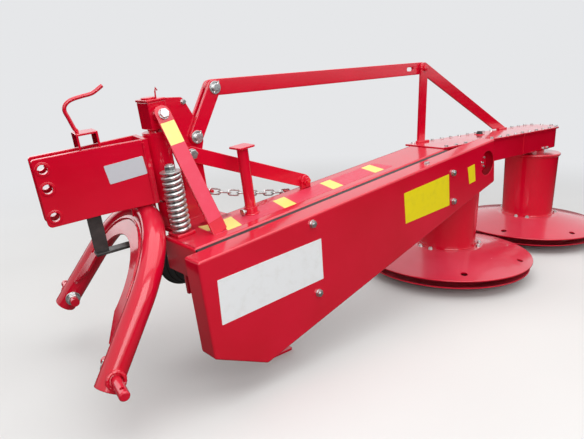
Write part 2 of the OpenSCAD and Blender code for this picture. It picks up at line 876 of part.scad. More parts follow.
// Coil spring of the belt tensioner
module tension_spring() {
    n = 168;
    m = 8;
    pts = [for (i = [0 : n]) each spring_ring(i, n, m)];
    sides = [
        for (i = [0 : n - 1]) for (j = [0 : m - 1])
        [i * m + j, (i + 1) * m + j, (i + 1) * m + (j + 1) % m, i * m + (j + 1) % m]
    ];
    first = [for (j = [0 : m - 1]) j];
    last = [for (j = [0 : m - 1]) n * m + m - 1 - j];
    color(zinc) arm_place() translate([spring_u, spring_y, spring_seat_v])
        polyhedron(points = pts, faces = concat(sides, [first], [last]), convexity = 10);
}

// Bolt, washer and nuts of the belt tensioner
module tension_bolt() {
    color(zinc) arm_place() translate([spring_u, spring_y, frame_top]) {
        cylinder(r = bolt_r, h = seat_t + spring_h + 2.4 * bolt_r);
        translate([0, 0, seat_t + spring_h]) cylinder(r = spring_r + wire_r, h = washer_t);
        translate([0, 0, seat_t + spring_h + washer_t]) cylinder(r = 1.6 * bolt_r, h = 1.6 * bolt_r, $fn = 6);
    }
}

// Sleeve that guides the parking leg
module leg_sleeve() {
    color(red) arm_place() translate([leg_u, leg_y, frame_bottom - sleeve_under]) difference() {
        cylinder(r = sleeve_r, h = frame_h + sleeve_under + sleeve_over);
        translate([0, 0, -lap]) cylinder(r = leg_r + leg_play, h = big);
    }
}

// Locking screw of the parking leg
module leg_lock() {
    color(zinc) arm_place() translate([leg_u, leg_y, frame_top + sleeve_over - 1.1 * lock_head_r])
        rotate([0, 0, -90]) difference() {
            union() {
                rod_y(lock_r, sleeve_r - lock_r, sleeve_r + lock_len);
                rod_y(lock_head_r, sleeve_r + lock_len, sleeve_r + lock_len + lock_r);
            }
            translate([0, 0, -big / 2]) cylinder(r = sleeve_r, h = big);
        }
}

// One point on the wire of a chain link, k along the link and j round the wire
function link_point(k, n, j, m) =
    let (
        a = 360 * (k + 0.5) / n, b = 360 * j / m, side = cos(a) > 0 ? 1 : -1,
        r = link_wide / 2 + link_wire + link_wire * cos(b)
    )
    [side * (link_in - link_wide) / 2 + r * cos(a), r * sin(a), link_wire * sin(b)];

// One link of the chain along +X
module chain_link() {
    n = 16;
    m = 6;
    pts = [for (k = [0 : n - 1]) for (j = [0 : m - 1]) link_point(k, n, j, m)];
    sides = [
        for (k = [0 : n - 1]) for (j = [0 : m - 1])
        [k * m + j, ((k + 1) % n) * m + j, ((k + 1) % n) * m + (j + 1) % m, k * m + (j + 1) % m]
    ];
    polyhedron(points = pts, faces = sides, convexity = 4);
}

// Zinc chain hanging from the spine to the brace bracket
module lock_chain() {
    color(zinc) arm_place() for (i = [0 : link_count - 1]) {
        t = (i + 0.5) / link_count;
        slope = chain_dv / chain_du - chain_sag * 4 * (1 - 2 * t) / chain_du;
        translate([
            chain_u + chain_du * t,
            chain_y,
            chain_v + chain_dv * t - chain_sag * 4 * t * (1 - t)
        ]) rotate([0, 180 - atan(slope), 0]) rotate([90 * ((i + 1) % 2), 0, 0]) chain_link();
    }
}

// Plan outline of the left mast plate
module mast_plan() {
    polygon([
        [mast_front, mast_gap_half], [mast_bend, mast_gap_half],
        [mast_rear, mast_gap_half + mast_spread], [mast_rear, mast_gap_half + mast_spread + mast_t],
        [mast_bend, mast_gap_half + mast_t], [mast_front, mast_gap_half + mast_t]
    ]);
}

// Mast plate on one side, 1 for left and -1 for right
module mast_side(s) {
    color(red) hitch_place() scale([1, s, 1]) difference() {
        translate([0, 0, mast_low]) linear_extrude(height = mast_high - mast_low) mast_plan();
        translate([hole_a_f, 0, hole_a_v]) rod_y(toplink_r, 0, big);
        translate([hole_a_f, 0, hole_b_v]) rod_y(toplink_r, 0, big);
        translate([hole_a_f, 0, hole_c_v]) rod_y(toplink_r, 0, big);
        translate([mast_front, 0, mast_low]) rotate([0, 45, 0])
            translate([-mast_corner / 2, 0, -mast_corner / 2]) cube([mast_corner, big, mast_corner]);
    }
}

module mast_left() {
    mast_side(1);
}

module mast_right() {
    mast_side(-1);
}

// Sleeve round the swing pin, cross plate and spacers of the mast
module mast_core() {
    color(red) hitch_place() difference() {
        union() {
            translate([0, 0, hitch_low]) cylinder(r = hitch_sleeve_r, h = hitch_high - hitch_low);
            translate([mast_rear - cross_t, -mast_gap_half - mast_spread - mast_t, mast_low])
                cube([cross_t, 2 * (mast_gap_half + mast_spread + mast_t), mast_high - mast_low]);
            translate([0, -mast_t / 2, mast_low])
                cube([mast_rear, mast_t, mast_high - mast_low]);
            translate([mast_rear - cross_t, -mast_t / 2, arch_v])
                cube([saddle_len, mast_t, mast_low + saddle_up - arch_v]);
            for (v = [mast_low + 2 * spacer_r, mast_high - 2 * spacer_r])
                translate([spacer_f, 0, v]) rod_y(spacer_r, -mast_gap_half, mast_gap_half);
        }
        cylinder(r = king_r + king_play, h = big);
        translate([arch_f, 0, arch_v]) rotate([0, -arch_lean, 0]) arch_body(arch_r + seat_gap, 0);
    }
}

// Solid shape of the arch tube at a given radius
module arch_body(r, cut) {
    translate([0, 0, -arch_bend_r]) rotate([90, 0, 90]) rotate([0, 0, arch_splay])
        rotate_extrude(angle = 2 * arch_turn) translate([arch_bend_r, 0]) circle(r = r);
    for (s = [-1, 1])
        translate([0, s * arch_l0, -arch_s0]) rotate([s * arch_splay, 0, 0])
            translate([0, 0, -arch_leg + cut]) cylinder(r = r, h = arch_leg - cut);
}

// Bent tube arch of the hitch
module arch_tube() {
    color(red) difference() {
        arch_place() difference() {
            arch_body(arch_r, 0);
            arch_body(arch_r - arch_wall, arch_wall);
        }
        hitch_place() translate([lower_f, 0, lower_v]) rod_y(lower_r, -big, big);
        hitch_place() cylinder(r = hitch_sleeve_r + lap, h = big);
    }
}

// Web plate of the arch with the opening for the drive shaft
module arch_web() {
    color(red) arch_place() difference() {
        translate([web_ahead, -arch_l0 - arch_r * 0.8, -web_down])
            cube([web_t, 2 * arch_l0 + arch_r * 1.6, web_down]);
        translate([0, 0, -web_hole_s]) rotate([0, 90, 0]) cylinder(r = web_hole_r, h = big);
        rotate([90, 0, 90]) linear_extrude(height = big) polygon([
            [-web_hole_r, -web_hole_s], [-web_tip_half, -web_down - lap],
            [web_tip_half, -web_down - lap], [web_hole_r, -web_hole_s]
        ]);
        arch_body(arch_r + seat_gap, 0);
        difference() {
            translate([0, -big / 2, -arch_bend_r]) cube([big, big, big]);
            translate([0, 0, -arch_bend_r]) rotate([0, 90, 0]) cylinder(r = arch_bend_r, h = big);
        }
    }
}

// Straight left leg of the arch at a given radius
module lower_leg(r) {
    translate([arch_f, 0, arch_v]) rotate([0, -arch_lean, 0])
        translate([0, arch_l0, -arch_s0]) rotate([arch_splay, 0, 0])
        translate([0, 0, -arch_leg]) cylinder(r = r, h = arch_leg);
}

// Lower hitch pin on one side with its collar, stub and nut
module lower_pin(s) {
    color(zinc) hitch_place() scale([1, s, 1]) {
        translate([lower_f, 0, lower_v]) difference() {
            rod_y(lower_r, leg_mid_l - arch_r - stub_len, shoulder_half + lower_len);
            translate([0, shoulder_half + lower_len - linch_in, -big / 2]) cylinder(r = linch_r, h = big);
        }
        difference() {
            translate([lower_f, 0, lower_v]) rod_y(collar_r, shoulder_half - collar_t, shoulder_half);
            lower_leg(arch_r + seat_gap);
        }
        translate([lower_f, 0, lower_v])
            rod_y(nut_r, leg_mid_l - arch_r - nut_t - nut_gap, leg_mid_l - arch_r - nut_gap);
    }
}

module lower_pin_left() {
    lower_pin(1);
}

module lower_pin_right() {
    lower_pin(-1);
}

// Black strap that carries the drive shaft when the mower is off
module shaft_strap() {
    color(dark) hitch_place() difference() {
        union() {
            translate([strap_f, -strap_t / 2, strap_low]) cube([strap_w, strap_t, strap_high - strap_low]);
            translate([strap_f - strap_arm, -strap_w / 2, strap_low - strap_t])
                cube([strap_arm + strap_w, strap_w, strap_t]);
        }
        translate([spacer_f, 0, mast_low + 2 * spacer_r]) rod_y(spacer_r, -big, big);
    }
}

// Direction of the rod at point i, the mean of its neighbours
function rod_turn(p, i) =
    let (a = p[max(i - 1, 0)], b = p[min(i + 1, len(p) - 1)])
    atan2(b[1] - a[1], b[0] - a[0]);

// Rod hook bent from one round bar
module rod_hook() {
    m = 12;
    path = [
        [hook_f, mast_high + hook_h], [hook_f, mast_high + hook_h + rod_r], [hook_f + 4, mast_high + 56], [hook_f + 12, mast_high + 86],
        [hook_f + 17, mast_high + 104], [hook_f + 15, mast_high + 117], [hook_f + 5, mast_high + 127],
        [hook_f - 10, mast_high + 133], [hook_f - 36, mast_high + 137], [hook_f - 64, mast_high + 141],
        [hook_f - 94, mast_high + 157]
    ];
    n = len(path);
    pts = [
        for (i = [0 : n - 1]) let (a = rod_turn(path, i)) for (j = [0 : m - 1])
        let (b = 360 * j / m) [
            path[i][0] - rod_r * cos(b) * sin(a),
            rod_r * sin(b),
            path[i][1] + rod_r * cos(b) * cos(a)
        ]
    ];
    sides = [
        for (i = [0 : n - 2]) for (j = [0 : m - 1])
        [i * m + j, i * m + (j + 1) % m, (i + 1) * m + (j + 1) % m, (i + 1) * m + j]
    ];
    first = [for (j = [0 : m - 1]) m - 1 - j];
    last = [for (j = [0 : m - 1]) (n - 1) * m + j];
    color(red) hitch_place() polyhedron(points = pts, faces = concat(sides, [first], [last]), convexity = 6);
}

// Box bracket of the rod hook on the mast
module hook_bracket() {
    color(red) hitch_place() difference() {
        translate([hook_rear, -mast_gap_half - mast_t, mast_high])
            cube([hook_len, 2 * (mast_gap_half + mast_t), hook_h]);
        translate([hook_rear + hook_t, -big / 2, mast_high - lap])
            cube([hook_len - 2 * hook_t, big, hook_h - hook_t]);
    }
}

// Two rocker bars
module rocker() {
    color(red) arm_place() difference() {
        for (y = [rocker_near, rocker_far])
            translate([rocker_u, y + rocker_t / 2, rocker_v]) rotate([0, -rocker_angle, 0])
                flat_link(rocker_len, rocker_w, rocker_t);
        translate([rocker_u, 0, rocker_v]) rod_y(pin_r, -big, big);
        translate([bar_u, 0, bar_v]) rod_y(pin_r, -big, big);
    }
}

// Pins and washers of the rocker
module rocker_pins() {
    color(zinc) arm_place() for (p = [[rocker_u, rocker_v], [bar_u, bar_v]])
        translate([p[0], 0, p[1]]) {
            rod_y(pin_r, rocker_far - washer_t - pin_end, rocker_near + rocker_t + washer_t + pin_end);
            rod_y(washer_r, rocker_near + rocker_t, rocker_near + rocker_t + washer_t);
            rod_y(washer_r, rocker_far - washer_t, rocker_far);
        }
}

// Long top bar from the rocker to the upright frame
module top_bar() {
    color(red) arm_place() difference() {
        translate([eye_u, link_y, eye_v]) rotate([0, -bar_angle, 0]) flat_link(bar_len, bar_h, link_t);
        translate([bar_u, 0, bar_v]) rod_y(pin_r + pin_play, -big, big);
        translate([eye_u, 0, eye_v]) rod_y(pin_r + loose_play, -big, big);
    }
}

// Parking leg with its foot and top plate
module parking_leg() {
    color(red) {
        difference() {
            arm_place() translate([leg_u, leg_y, leg_foot_v - leg_r])
                cylinder(r = leg_r, h = leg_top - leg_foot_v + leg_r);
            translate([-big / 2, -big / 2, foot_t / 2 - big]) cube(big);
        }
        ground_place() translate([leg_foot_x - foot_half, leg_y - foot_half, 0])
            cube([2 * foot_half, 2 * foot_half, foot_t]);
        arm_place() translate([leg_u - leg_cap_half, leg_y - leg_cap_half, leg_top])
            cube([2 * leg_cap_half, 2 * leg_cap_half, leg_cap_t]);
    }
}

// Beam of the cutter unit, open at the top
module beam_body() {
    color(red) ground_place() difference() {
        translate([0, 0, beam_bottom_z]) linear_extrude(height = beam_wall_h) beam_outline(0);
        translate([0, 0, beam_bottom_z + beam_wall]) linear_extrude(height = beam_wall_h)
            beam_outline(beam_wall);
    }
}

// Bolted lid of the beam with its breather plug
module beam_lid() {
    color(red) ground_place() translate([0, 0, beam_top_z]) {
        linear_extrude(height = lid_t) beam_outline(-lid_over);
        translate([-plug_back, -beam_half_w / 2, lid_t]) cylinder(r = plug_r, h = plug_h);
    }
}

// Plain block that stands for the gears and shafts inside the beam
module beam_gears() {
    color(steel) ground_place()
        translate([-drum_spacing - gear_half_w, -gear_half_w, beam_bottom_z + beam_wall])
        cube([drum_spacing + 3 * gear_half_w, 2 * gear_half_w, gear_h]);
}

// Trunnion that carries the cutter unit on the arm
module hub_trunnion() {
    color(red) ground_place() translate([hub_x, 0, hub_z]) {
        rod_y(hub_r, beam_half_w, frame_left + cheek_t + hub_out);
    }
}

// Standing necks and spindles of the two drums
module spindles() {
    color(steel) ground_place() for (x = [0, -drum_spacing]) translate([x, 0, 0]) {
        translate([0, 0, drum_top_z - neck_in]) cylinder(r = neck_r, h = beam_bottom_z - drum_top_z + neck_in);
        translate([0, 0, spindle_low_z]) cylinder(r = spindle_r, h = drum_top_z - neck_in - spindle_low_z);
    }
}

// Upright frame on the beam
module upright_frame() {
    color(red) ground_place() difference() {
        union() {
            translate([eye_x - upright_w / 2, upright_y - upright_t / 2, lid_top_z])
                cube([upright_w, upright_t, eye_z - lid_top_z]);
            intersection() {
                translate([eye_x, upright_y, eye_z]) rotate([0, -diag_angle, 0]) rotate([0, 180, 0])
                    translate([0, -diagonal_t / 2, -diagonal_w / 2])
                    cube([diag_len + diagonal_w, diagonal_t, diagonal_w]);
                translate([-big, upright_y - upright_t / 2, lid_top_z])
                    cube([2 * big, upright_t, big]);
            }
            translate([eye_x, 0, eye_z]) rod_y(upright_eye_r, upright_y - upright_t / 2, upright_y + upright_t / 2);
            translate([eye_x - foot_plate_l / 2, upright_y, lid_top_z])
                cube([foot_plate_l, foot_plate_w, foot_plate_t]);
            translate([-diagonal_back - foot_plate_l / 2, upright_y, lid_top_z])
                cube([foot_plate_l, foot_plate_w, foot_plate_t]);
            translate([eye_x, 0, eye_z])
                rod_y(pin_r, link_y - link_half - washer_t - pin_end, upright_y + upright_t / 2 + pin_end);
            translate([eye_x, 0, eye_z])
                rod_y(washer_r, link_y - link_half - washer_t - link_gap, link_y - link_half - link_gap);
        }
    }
}

// Drum with its cap ring
module drum() {
    color(red) rotate_extrude() polygon([
        [drum_foot_r, drum_bottom_z], [drum_top_r, drum_top_z - ring_h], [ring_r, drum_top_z - ring_h],
        [ring_r, drum_top_z], [neck_r + neck_play, drum_top_z],
        [neck_r + neck_play, drum_top_z - drum_cap_t],
        [drum_top_r - drum_wall, drum_top_z - drum_cap_t],
        [drum_foot_r - drum_wall, drum_bottom_z]
    ]);
}

// Conical working disc
module disc() {
    color(red) rotate_extrude() polygon([
        [disc_hole_r, disc_seat_z], [disc_seat_r, disc_seat_z], [disc_rim_r, disc_rim_z + disc_t],
        [disc_rim_r, disc_rim_z], [disc_seat_r, disc_seat_z - disc_t], [disc_hole_r, disc_seat_z - disc_t]
    ]);
}

// Knives folded in under the working disc, with their pins
module knives() {
    slope = (disc_seat_z - disc_t - disc_rim_z) / (disc_rim_r - disc_seat_r);
    pin_top = disc_rim_z + slope * (disc_rim_r - knife_pin_r - knife_pin_rad);
    color(steel) for (i = [0 : knife_count - 1]) rotate([0, 0, i * 360 / knife_count]) {
        translate([knife_pin_r, 0, knife_z]) rotate([0, 0, 125])
            translate([-knife_w / 2, -knife_w / 2, 0]) cube([knife_len, knife_w, knife_t]);
        translate([knife_pin_r, 0, knife_z - knife_head_h])
            cylinder(r = 2 * knife_pin_rad, h = knife_head_h);
        translate([knife_pin_r, 0, knife_z - knife_head_h])
            cylinder(r = knife_pin_rad, h = pin_top - knife_z + knife_head_h);
    }
}

// Slide disc that turns freely on its spindle
module slide_disc() {
    color(red) rotate_extrude() polygon([
        [0, 0], [sole_r, 0], [slide_rim_r, slide_rim_z], [slide_rim_r, slide_rim_z + slide_t],
        [sole_r, slide_t], [slide_boss_r, slide_t], [slide_boss_r, slide_boss_z],
        [spindle_r + spindle_play, slide_boss_z], [spindle_r + spindle_play, slide_t], [0, slide_t]
    ]);
}

module drum_1() {
    ground_place() drum();
}

module disc_1() {
    ground_place() disc();
}

module knives_1() {
    ground_place() knives();
}

module drum_2() {
    ground_place() translate([-drum_spacing, 0, 0]) drum();
}

module disc_2() {
    ground_place() translate([-drum_spacing, 0, 0]) disc();
}

module knives_2() {
    ground_place() translate([-drum_spacing, 0, 0]) rotate([0, 0, 60]) knives();
}

module slide_disc_1() {
    ground_place() slide_disc();
}

module slide_disc_2() {
    ground_place() translate([-drum_spacing, 0, 0]) slide_disc();
}

arm_frame();
hub_cheek();
input_housing();
input_cone();
input_shaft();
guard_box();
guard_standoffs();
belt_pulley();
headstock();
swing_pin();
flat_strut();
flat_brace();
spring_seat();
tension_spring();
tension_bolt();
leg_sleeve();
leg_lock();
lock_chain();
mast_left();
mast_right();
mast_core();
arch_tube();
arch_web();
lower_pin_left();
lower_pin_right();
shaft_strap();
rod_hook();
hook_bracket();
rocker();
rocker_pins();
top_bar();
parking_leg();
beam_body();
beam_lid();
beam_gears();
hub_trunnion();
spindles();
upright_frame();
drum_1();
disc_1();
knives_1();
drum_2();
disc_2();
knives_2();
slide_disc_1();
slide_disc_2();
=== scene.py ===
# %% [markdown]
# A two-drum rotary mower stands parked on its slide discs and one leg.
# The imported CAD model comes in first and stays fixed. It gives every place and every size,
# so each piece made below is laid over it in the same frame, in metres.

# %% Load the frame
import json
import math
from math import cos, pi, radians, sin

import bmesh
import bpy
from mathutils import Matrix, Vector
from mathutils.geometry import tessellate_polygon

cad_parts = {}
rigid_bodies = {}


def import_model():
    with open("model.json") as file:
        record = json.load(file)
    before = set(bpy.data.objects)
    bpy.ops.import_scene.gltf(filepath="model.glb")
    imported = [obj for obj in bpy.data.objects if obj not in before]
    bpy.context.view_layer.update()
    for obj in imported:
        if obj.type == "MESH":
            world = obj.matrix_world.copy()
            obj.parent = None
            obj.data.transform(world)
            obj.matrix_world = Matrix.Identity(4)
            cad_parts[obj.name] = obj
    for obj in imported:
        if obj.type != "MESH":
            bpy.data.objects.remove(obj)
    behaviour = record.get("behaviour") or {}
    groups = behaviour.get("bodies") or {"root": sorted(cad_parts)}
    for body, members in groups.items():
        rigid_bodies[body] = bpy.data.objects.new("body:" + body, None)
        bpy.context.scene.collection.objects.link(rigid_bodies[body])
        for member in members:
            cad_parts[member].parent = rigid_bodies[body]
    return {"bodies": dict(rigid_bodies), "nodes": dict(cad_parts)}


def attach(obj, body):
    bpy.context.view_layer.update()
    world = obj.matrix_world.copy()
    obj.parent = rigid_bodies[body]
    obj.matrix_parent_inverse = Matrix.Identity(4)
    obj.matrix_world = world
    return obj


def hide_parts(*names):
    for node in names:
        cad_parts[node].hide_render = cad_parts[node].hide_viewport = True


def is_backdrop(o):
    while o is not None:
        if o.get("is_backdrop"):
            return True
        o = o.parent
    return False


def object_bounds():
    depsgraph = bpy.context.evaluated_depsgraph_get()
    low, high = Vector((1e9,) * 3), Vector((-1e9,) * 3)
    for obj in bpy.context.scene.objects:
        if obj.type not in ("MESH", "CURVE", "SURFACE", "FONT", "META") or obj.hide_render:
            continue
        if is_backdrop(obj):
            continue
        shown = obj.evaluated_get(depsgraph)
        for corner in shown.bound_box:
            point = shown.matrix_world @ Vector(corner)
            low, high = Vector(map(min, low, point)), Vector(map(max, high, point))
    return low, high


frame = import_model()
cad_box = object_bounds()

scene = bpy.context.scene
print("bodies:", sorted(frame["bodies"]))

# %% [markdown]
# The machine has three straight directions of its own: the cutter unit stands level on the ground,
# the arm leans nose-down, and the hitch is swung a little about its pin. A place matrix for each
# lets a piece be drawn in plain millimetres along its own axes and still land on the CAD solids.
# Each place is set on the one before it, as the real pieces are carried: hub, swing pin, arch.

# %% Places to draw in
DRUM_AXIS = (-0.27496, 0.103271, 0.0)
DRUM_SPACING = 800
HUB_AHEAD, HUB_HIGH, ARM_DOWN = 67, 535, 7
KING_AHEAD, KING_ASIDE, HITCH_TURN = 1279, -120, -11
ARCH_AHEAD, ARCH_HIGH, ARCH_LEAN = 77, 144, -38


def shift(x, y, z):
    return Matrix.Translation((x, y, z))


def spin(axis, degrees):
    return Matrix.Rotation(radians(degrees), 4, axis)


GROUND = shift(*DRUM_AXIS) @ Matrix.Scale(0.001, 4)
FAR = GROUND @ shift(-DRUM_SPACING, 0, 0)
ARM = GROUND @ shift(HUB_AHEAD, 0, HUB_HIGH) @ spin("Y", ARM_DOWN)
HITCH = ARM @ shift(KING_AHEAD, KING_ASIDE, 0) @ spin("Z", HITCH_TURN)
ARCH = HITCH @ shift(ARCH_AHEAD, 0, ARCH_HIGH) @ spin("Y", ARCH_LEAN)
SIDE, TO_LEFT, TO_RIGHT, TO_FRONT = spin("X", 90), spin("X", -90), spin("X", 90), spin("Y", 90)
FRONT = Matrix(((0, 0, 1, 0), (1, 0, 0, 0), (0, 1, 0, 0), (0, 0, 0, 1)))
print("hub at", [round(c, 3) for c in (ARM @ Vector((0, 0, 0)))])

# %% [markdown]
# Paint and metal are mixed in the shader, so this cell has what every finish needs: a function that
# turns an sRGB hex value, as read off a colour picker, to the linear values that the shader mixes,
# and one that adds a node with its settings and links.

# %% Colour and node helpers
def linear(code):
    """Turns sRGB hex to linear red, green, blue and alpha."""
    parts = [int(code[i:i + 2], 16) / 255 for i in (1, 3, 5)]
    return [c / 12.92 if c <= 0.04045 else ((c + 0.055) / 1.055) ** 2.4 for c in parts] + [1.0]


def add(tree, kind, inputs=None, **settings):
    """Adds a node with its settings, and sets or links its inputs."""
    made = tree.nodes.new("ShaderNode" + kind)
    for key, value in settings.items():
        setattr(made, key, value)
    for key, value in (inputs or {}).items():
        if isinstance(value, bpy.types.NodeSocket):
            tree.links.new(value, made.inputs[key])
        else:
            made.inputs[key].default_value = value
    return made


def finish_of(name):
    """Starts a material and returns it with its tree, its shader and its place in metres."""
    made = bpy.data.materials.new(name)
    made.use_nodes = True
    tree = made.node_tree
    shader = tree.nodes["Principled BSDF"]
    return made, tree, shader, add(tree, "TexCoord").outputs["Object"]


def speckle(tree, place, size_mm, detail=2.0, rough=0.5):
    """Noise whose blobs are about size_mm across."""
    return add(tree, "TexNoise", {"Vector": place, "Scale": 1000 / size_mm, "Detail": detail,
                                  "Roughness": rough}).outputs["Fac"]


def ramp(tree, value, low, high, to_low=0.0, to_high=1.0):
    """Spreads the part of a value from low to high over a new range."""
    return add(tree, "MapRange", {"Value": value, "From Min": low, "From Max": high,
                                  "To Min": to_low, "To Max": to_high}).outputs["Result"]


def blend(tree, share, first, second):
    """Mixes two colours, hex or linked."""
    pair = [linear(c) if isinstance(c, str) else c for c in (first, second)]
    mix = add(tree, "Mix", {0: share, 6: pair[0], 7: pair[1]}, data_type="RGBA")
    return mix.outputs[2]


def bump(tree, height, strength, distance_mm):
    """Turns a height into a normal for the shader."""
    return add(tree, "Bump", {"Height": height, "Strength": strength,
                              "Distance": distance_mm / 1000}).outputs["Normal"]


# %% [markdown]
# The red is a polyester enamel, sprayed and baked on steel plate. Sprayed enamel dries in small
# hills a few millimetres wide, the orange peel, and keeps a hard clear gloss. Outdoors it gathers
# pale dust where it faces up, most of it near the ground, and wiping leaves faint dull streaks. The
# slide discs are scuffed by stubble and soil, so their paint has lost its gloss.

# %% Red enamel
def red_enamel(name, dust, scuffed=0.0):
    made, tree, shader, place = finish_of(name)
    shade = ramp(tree, speckle(tree, place, 260, 3), 0.3, 0.7)
    coat = blend(tree, shade, "#CC0726", "#D90A2F")
    normal = add(tree, "NewGeometry").outputs["Normal"]
    up = add(tree, "SeparateXYZ", {0: normal}).outputs["Z"]
    cloud = ramp(tree, speckle(tree, place, 160, 3, 0.5), 0.3, 0.75, 0.55, 1.0)
    faces_up = ramp(tree, up, 0.5, 1.0)
    share = add(tree, "Math", {0: cloud, 1: faces_up}, operation="MULTIPLY").outputs[0]
    share = add(tree, "Math", {0: share, 1: dust}, operation="MULTIPLY").outputs[0]
    tree.links.new(blend(tree, share, coat, "#E0748A"), shader.inputs["Base Color"])
    wiped = add(tree, "Mapping", {"Vector": place, "Scale": (1.0, 1.0, 9.0)}).outputs[0]
    dull = ramp(tree, speckle(tree, wiped, 70, 4, 0.6), 0.4, 0.75, 0.12, 0.22)
    dusty = add(tree, "Math", {0: share, 1: 0.25, 2: dull}, operation="MULTIPLY_ADD").outputs[0]
    worn = add(tree, "Math", {0: dusty, 1: scuffed}).outputs[0]
    tree.links.new(worn, shader.inputs["Roughness"])
    peel = speckle(tree, place, 5, 1)
    tree.links.new(bump(tree, peel, 0.08, 0.25), shader.inputs["Normal"])
    shader.inputs["IOR"].default_value = 1.5
    shader.inputs["Coat Weight"].default_value = 0.0 if scuffed else 0.35
    shader.inputs["Specular IOR Level"].default_value = 0.15 if scuffed else 0.5
    shader.inputs["Coat Roughness"].default_value = 0.08
    return made


RED = red_enamel("baked_red_enamel", 0.1)
RED_LOW = red_enamel("baked_red_enamel_dusty", 0.3)
RED_DULL = red_enamel("baked_red_enamel_scuffed", 0.3, 0.5)
print("enamel:", RED.name, RED_LOW.name)

# %% [markdown]
# Bolts, washers, the spring and the chain are zinc plated steel. Electroplated zinc is a soft grey
# mirror, broken by its crystal patches of a few millimetres, and the passivation adds a faint tint.

# %% Zinc plate and bare steel
def plated(name, light, dark, rough_low, rough_high, patch_mm):
    made, tree, shader, place = finish_of(name)
    patch = ramp(tree, speckle(tree, place, patch_mm, 4, 0.65), 0.3, 0.7)
    tree.links.new(blend(tree, patch, dark, light), shader.inputs["Base Color"])
    rough = ramp(tree, speckle(tree, place, patch_mm * 0.6, 3), 0.3, 0.7, rough_low, rough_high)
    tree.links.new(rough, shader.inputs["Roughness"])
    grain = speckle(tree, place, 1.5, 2)  # real grain is a tenth of this and would not show
    tree.links.new(bump(tree, grain, 0.1, 0.1), shader.inputs["Normal"])
    shader.inputs["Metallic"].default_value = 1.0
    return made


ZINC = plated("zinc_plated_steel", "#DCDDDC", "#AEB0AF", 0.24, 0.42, 6)
STEEL = plated("turned_steel", "#A39F9A", "#6E6862", 0.32, 0.55, 12)
OLD_STEEL = plated("ground_worn_steel", "#8D837B", "#5A4A40", 0.4, 0.7, 25)
print("metals:", ZINC.name, STEEL.name, OLD_STEEL.name)


# %% [markdown]
# The cone round the drive shaft is moulded polyethylene with a fine matt grain of some 0.2 mm. That
# is too fine to show here, so the grain is drawn 1.5 mm coarse. The shaft rest is flat steel under a
# thin black paint, so it is a little smoother and has softer patches.

# %% Black plastic and black paint
def dark_finish(name, light, dark, rough, grain_mm, lift):
    made, tree, shader, place = finish_of(name)
    patch = ramp(tree, speckle(tree, place, 60, 5, 0.7), 0.35, 0.75)
    tree.links.new(blend(tree, patch, dark, light), shader.inputs["Base Color"])
    spread = ramp(tree, speckle(tree, place, 20, 3), 0.3, 0.7, rough - 0.08, rough + 0.08)
    tree.links.new(spread, shader.inputs["Roughness"])
    tree.links.new(bump(tree, speckle(tree, place, grain_mm, 2), lift, 0.2), shader.inputs["Normal"])
    return made


PLASTIC = dark_finish("moulded_black_polyethylene", "#2B2A29", "#141414", 0.55, 1.5, 0.3)
BLACK = dark_finish("thin_black_paint", "#4A4543", "#242322", 0.42, 4, 0.15)
print("dark finishes:", PLASTIC.name, BLACK.name)


# %% [markdown]
# The signs are printed vinyl film, here left blank: a smooth plastic skin that follows the enamel
# below it. The rating plate is thin aluminium under a matt lacquer, which looks pale grey from every
# side. As bare metal it would mirror the dark surroundings, so it is a skin like the films.

# %% Vinyl film and aluminium
def film(name, colour, worn):
    made, tree, shader, place = finish_of(name)
    patch = ramp(tree, speckle(tree, place, 35, 5, 0.7), 0.5, 0.8, 0, 0.5)
    tree.links.new(blend(tree, patch, colour, worn), shader.inputs["Base Color"])
    spread = ramp(tree, speckle(tree, place, 30, 3), 0.3, 0.7, 0.28, 0.42)
    tree.links.new(spread, shader.inputs["Roughness"])
    tree.links.new(bump(tree, speckle(tree, place, 7, 1), 0.05, 0.2), shader.inputs["Normal"])
    shader.inputs["IOR"].default_value = 1.5
    return made


WHITE = film("white_vinyl_film", "#EFF0F1", "#DAD8D4")
YELLOW = film("yellow_vinyl_film", "#F2DD12", "#D9C62A")
PLATE = film("anodised_aluminium_plate", "#C9CCD2", "#B7BAC0")


def stripe_tape():
    """Reflective marking tape: glass beads in yellow and red film, in slanting stripes.

    The beads are a tenth of a millimetre. They are drawn 3 mm coarse, or they would not show.
    """
    made, tree, shader, place = finish_of("reflective_stripe_tape")
    along = add(tree, "SeparateXYZ", {0: place})
    lean = add(tree, "Math", {0: along.outputs["Y"], 1: -0.3, 2: along.outputs["X"]},
               operation="MULTIPLY_ADD").outputs[0]
    lean = add(tree, "Math", {0: lean, 1: STRIPE_START}, operation="SUBTRACT").outputs[0]
    turn = add(tree, "Math", {0: lean, 1: STRIPE_PITCH}, operation="FLOORED_MODULO").outputs[0]
    band = add(tree, "Math", {0: turn, 1: STRIPE_YELLOW}, operation="LESS_THAN").outputs[0]
    beads = ramp(tree, speckle(tree, place, 3, 1), 0.3, 0.7, 0, 0.25)
    red = blend(tree, beads, "#D5304C", "#E8607A")
    yellow = blend(tree, beads, "#F1E36A", "#F6F1B0")
    tree.links.new(blend(tree, band, red, yellow), shader.inputs["Base Color"])
    tree.links.new(ramp(tree, speckle(tree, place, 12, 3), 0.3, 0.7, 0.3, 0.45),
                   shader.inputs["Roughness"])
    tree.links.new(bump(tree, speckle(tree, place, 3, 1), 0.15, 0.2), shader.inputs["Normal"])
    return made


STRIPE_START, STRIPE_PITCH, STRIPE_YELLOW = 0.6885, 0.218, 0.05
TAPE = stripe_tape()
TAPE_RED = film("red_reflective_film", "#DC3A55", "#E2586F")
TAPE_YELLOW = film("yellow_reflective_film", "#F0E68A", "#F5EFAE")
print("films:", WHITE.name, YELLOW.name, PLATE.name, TAPE.name)

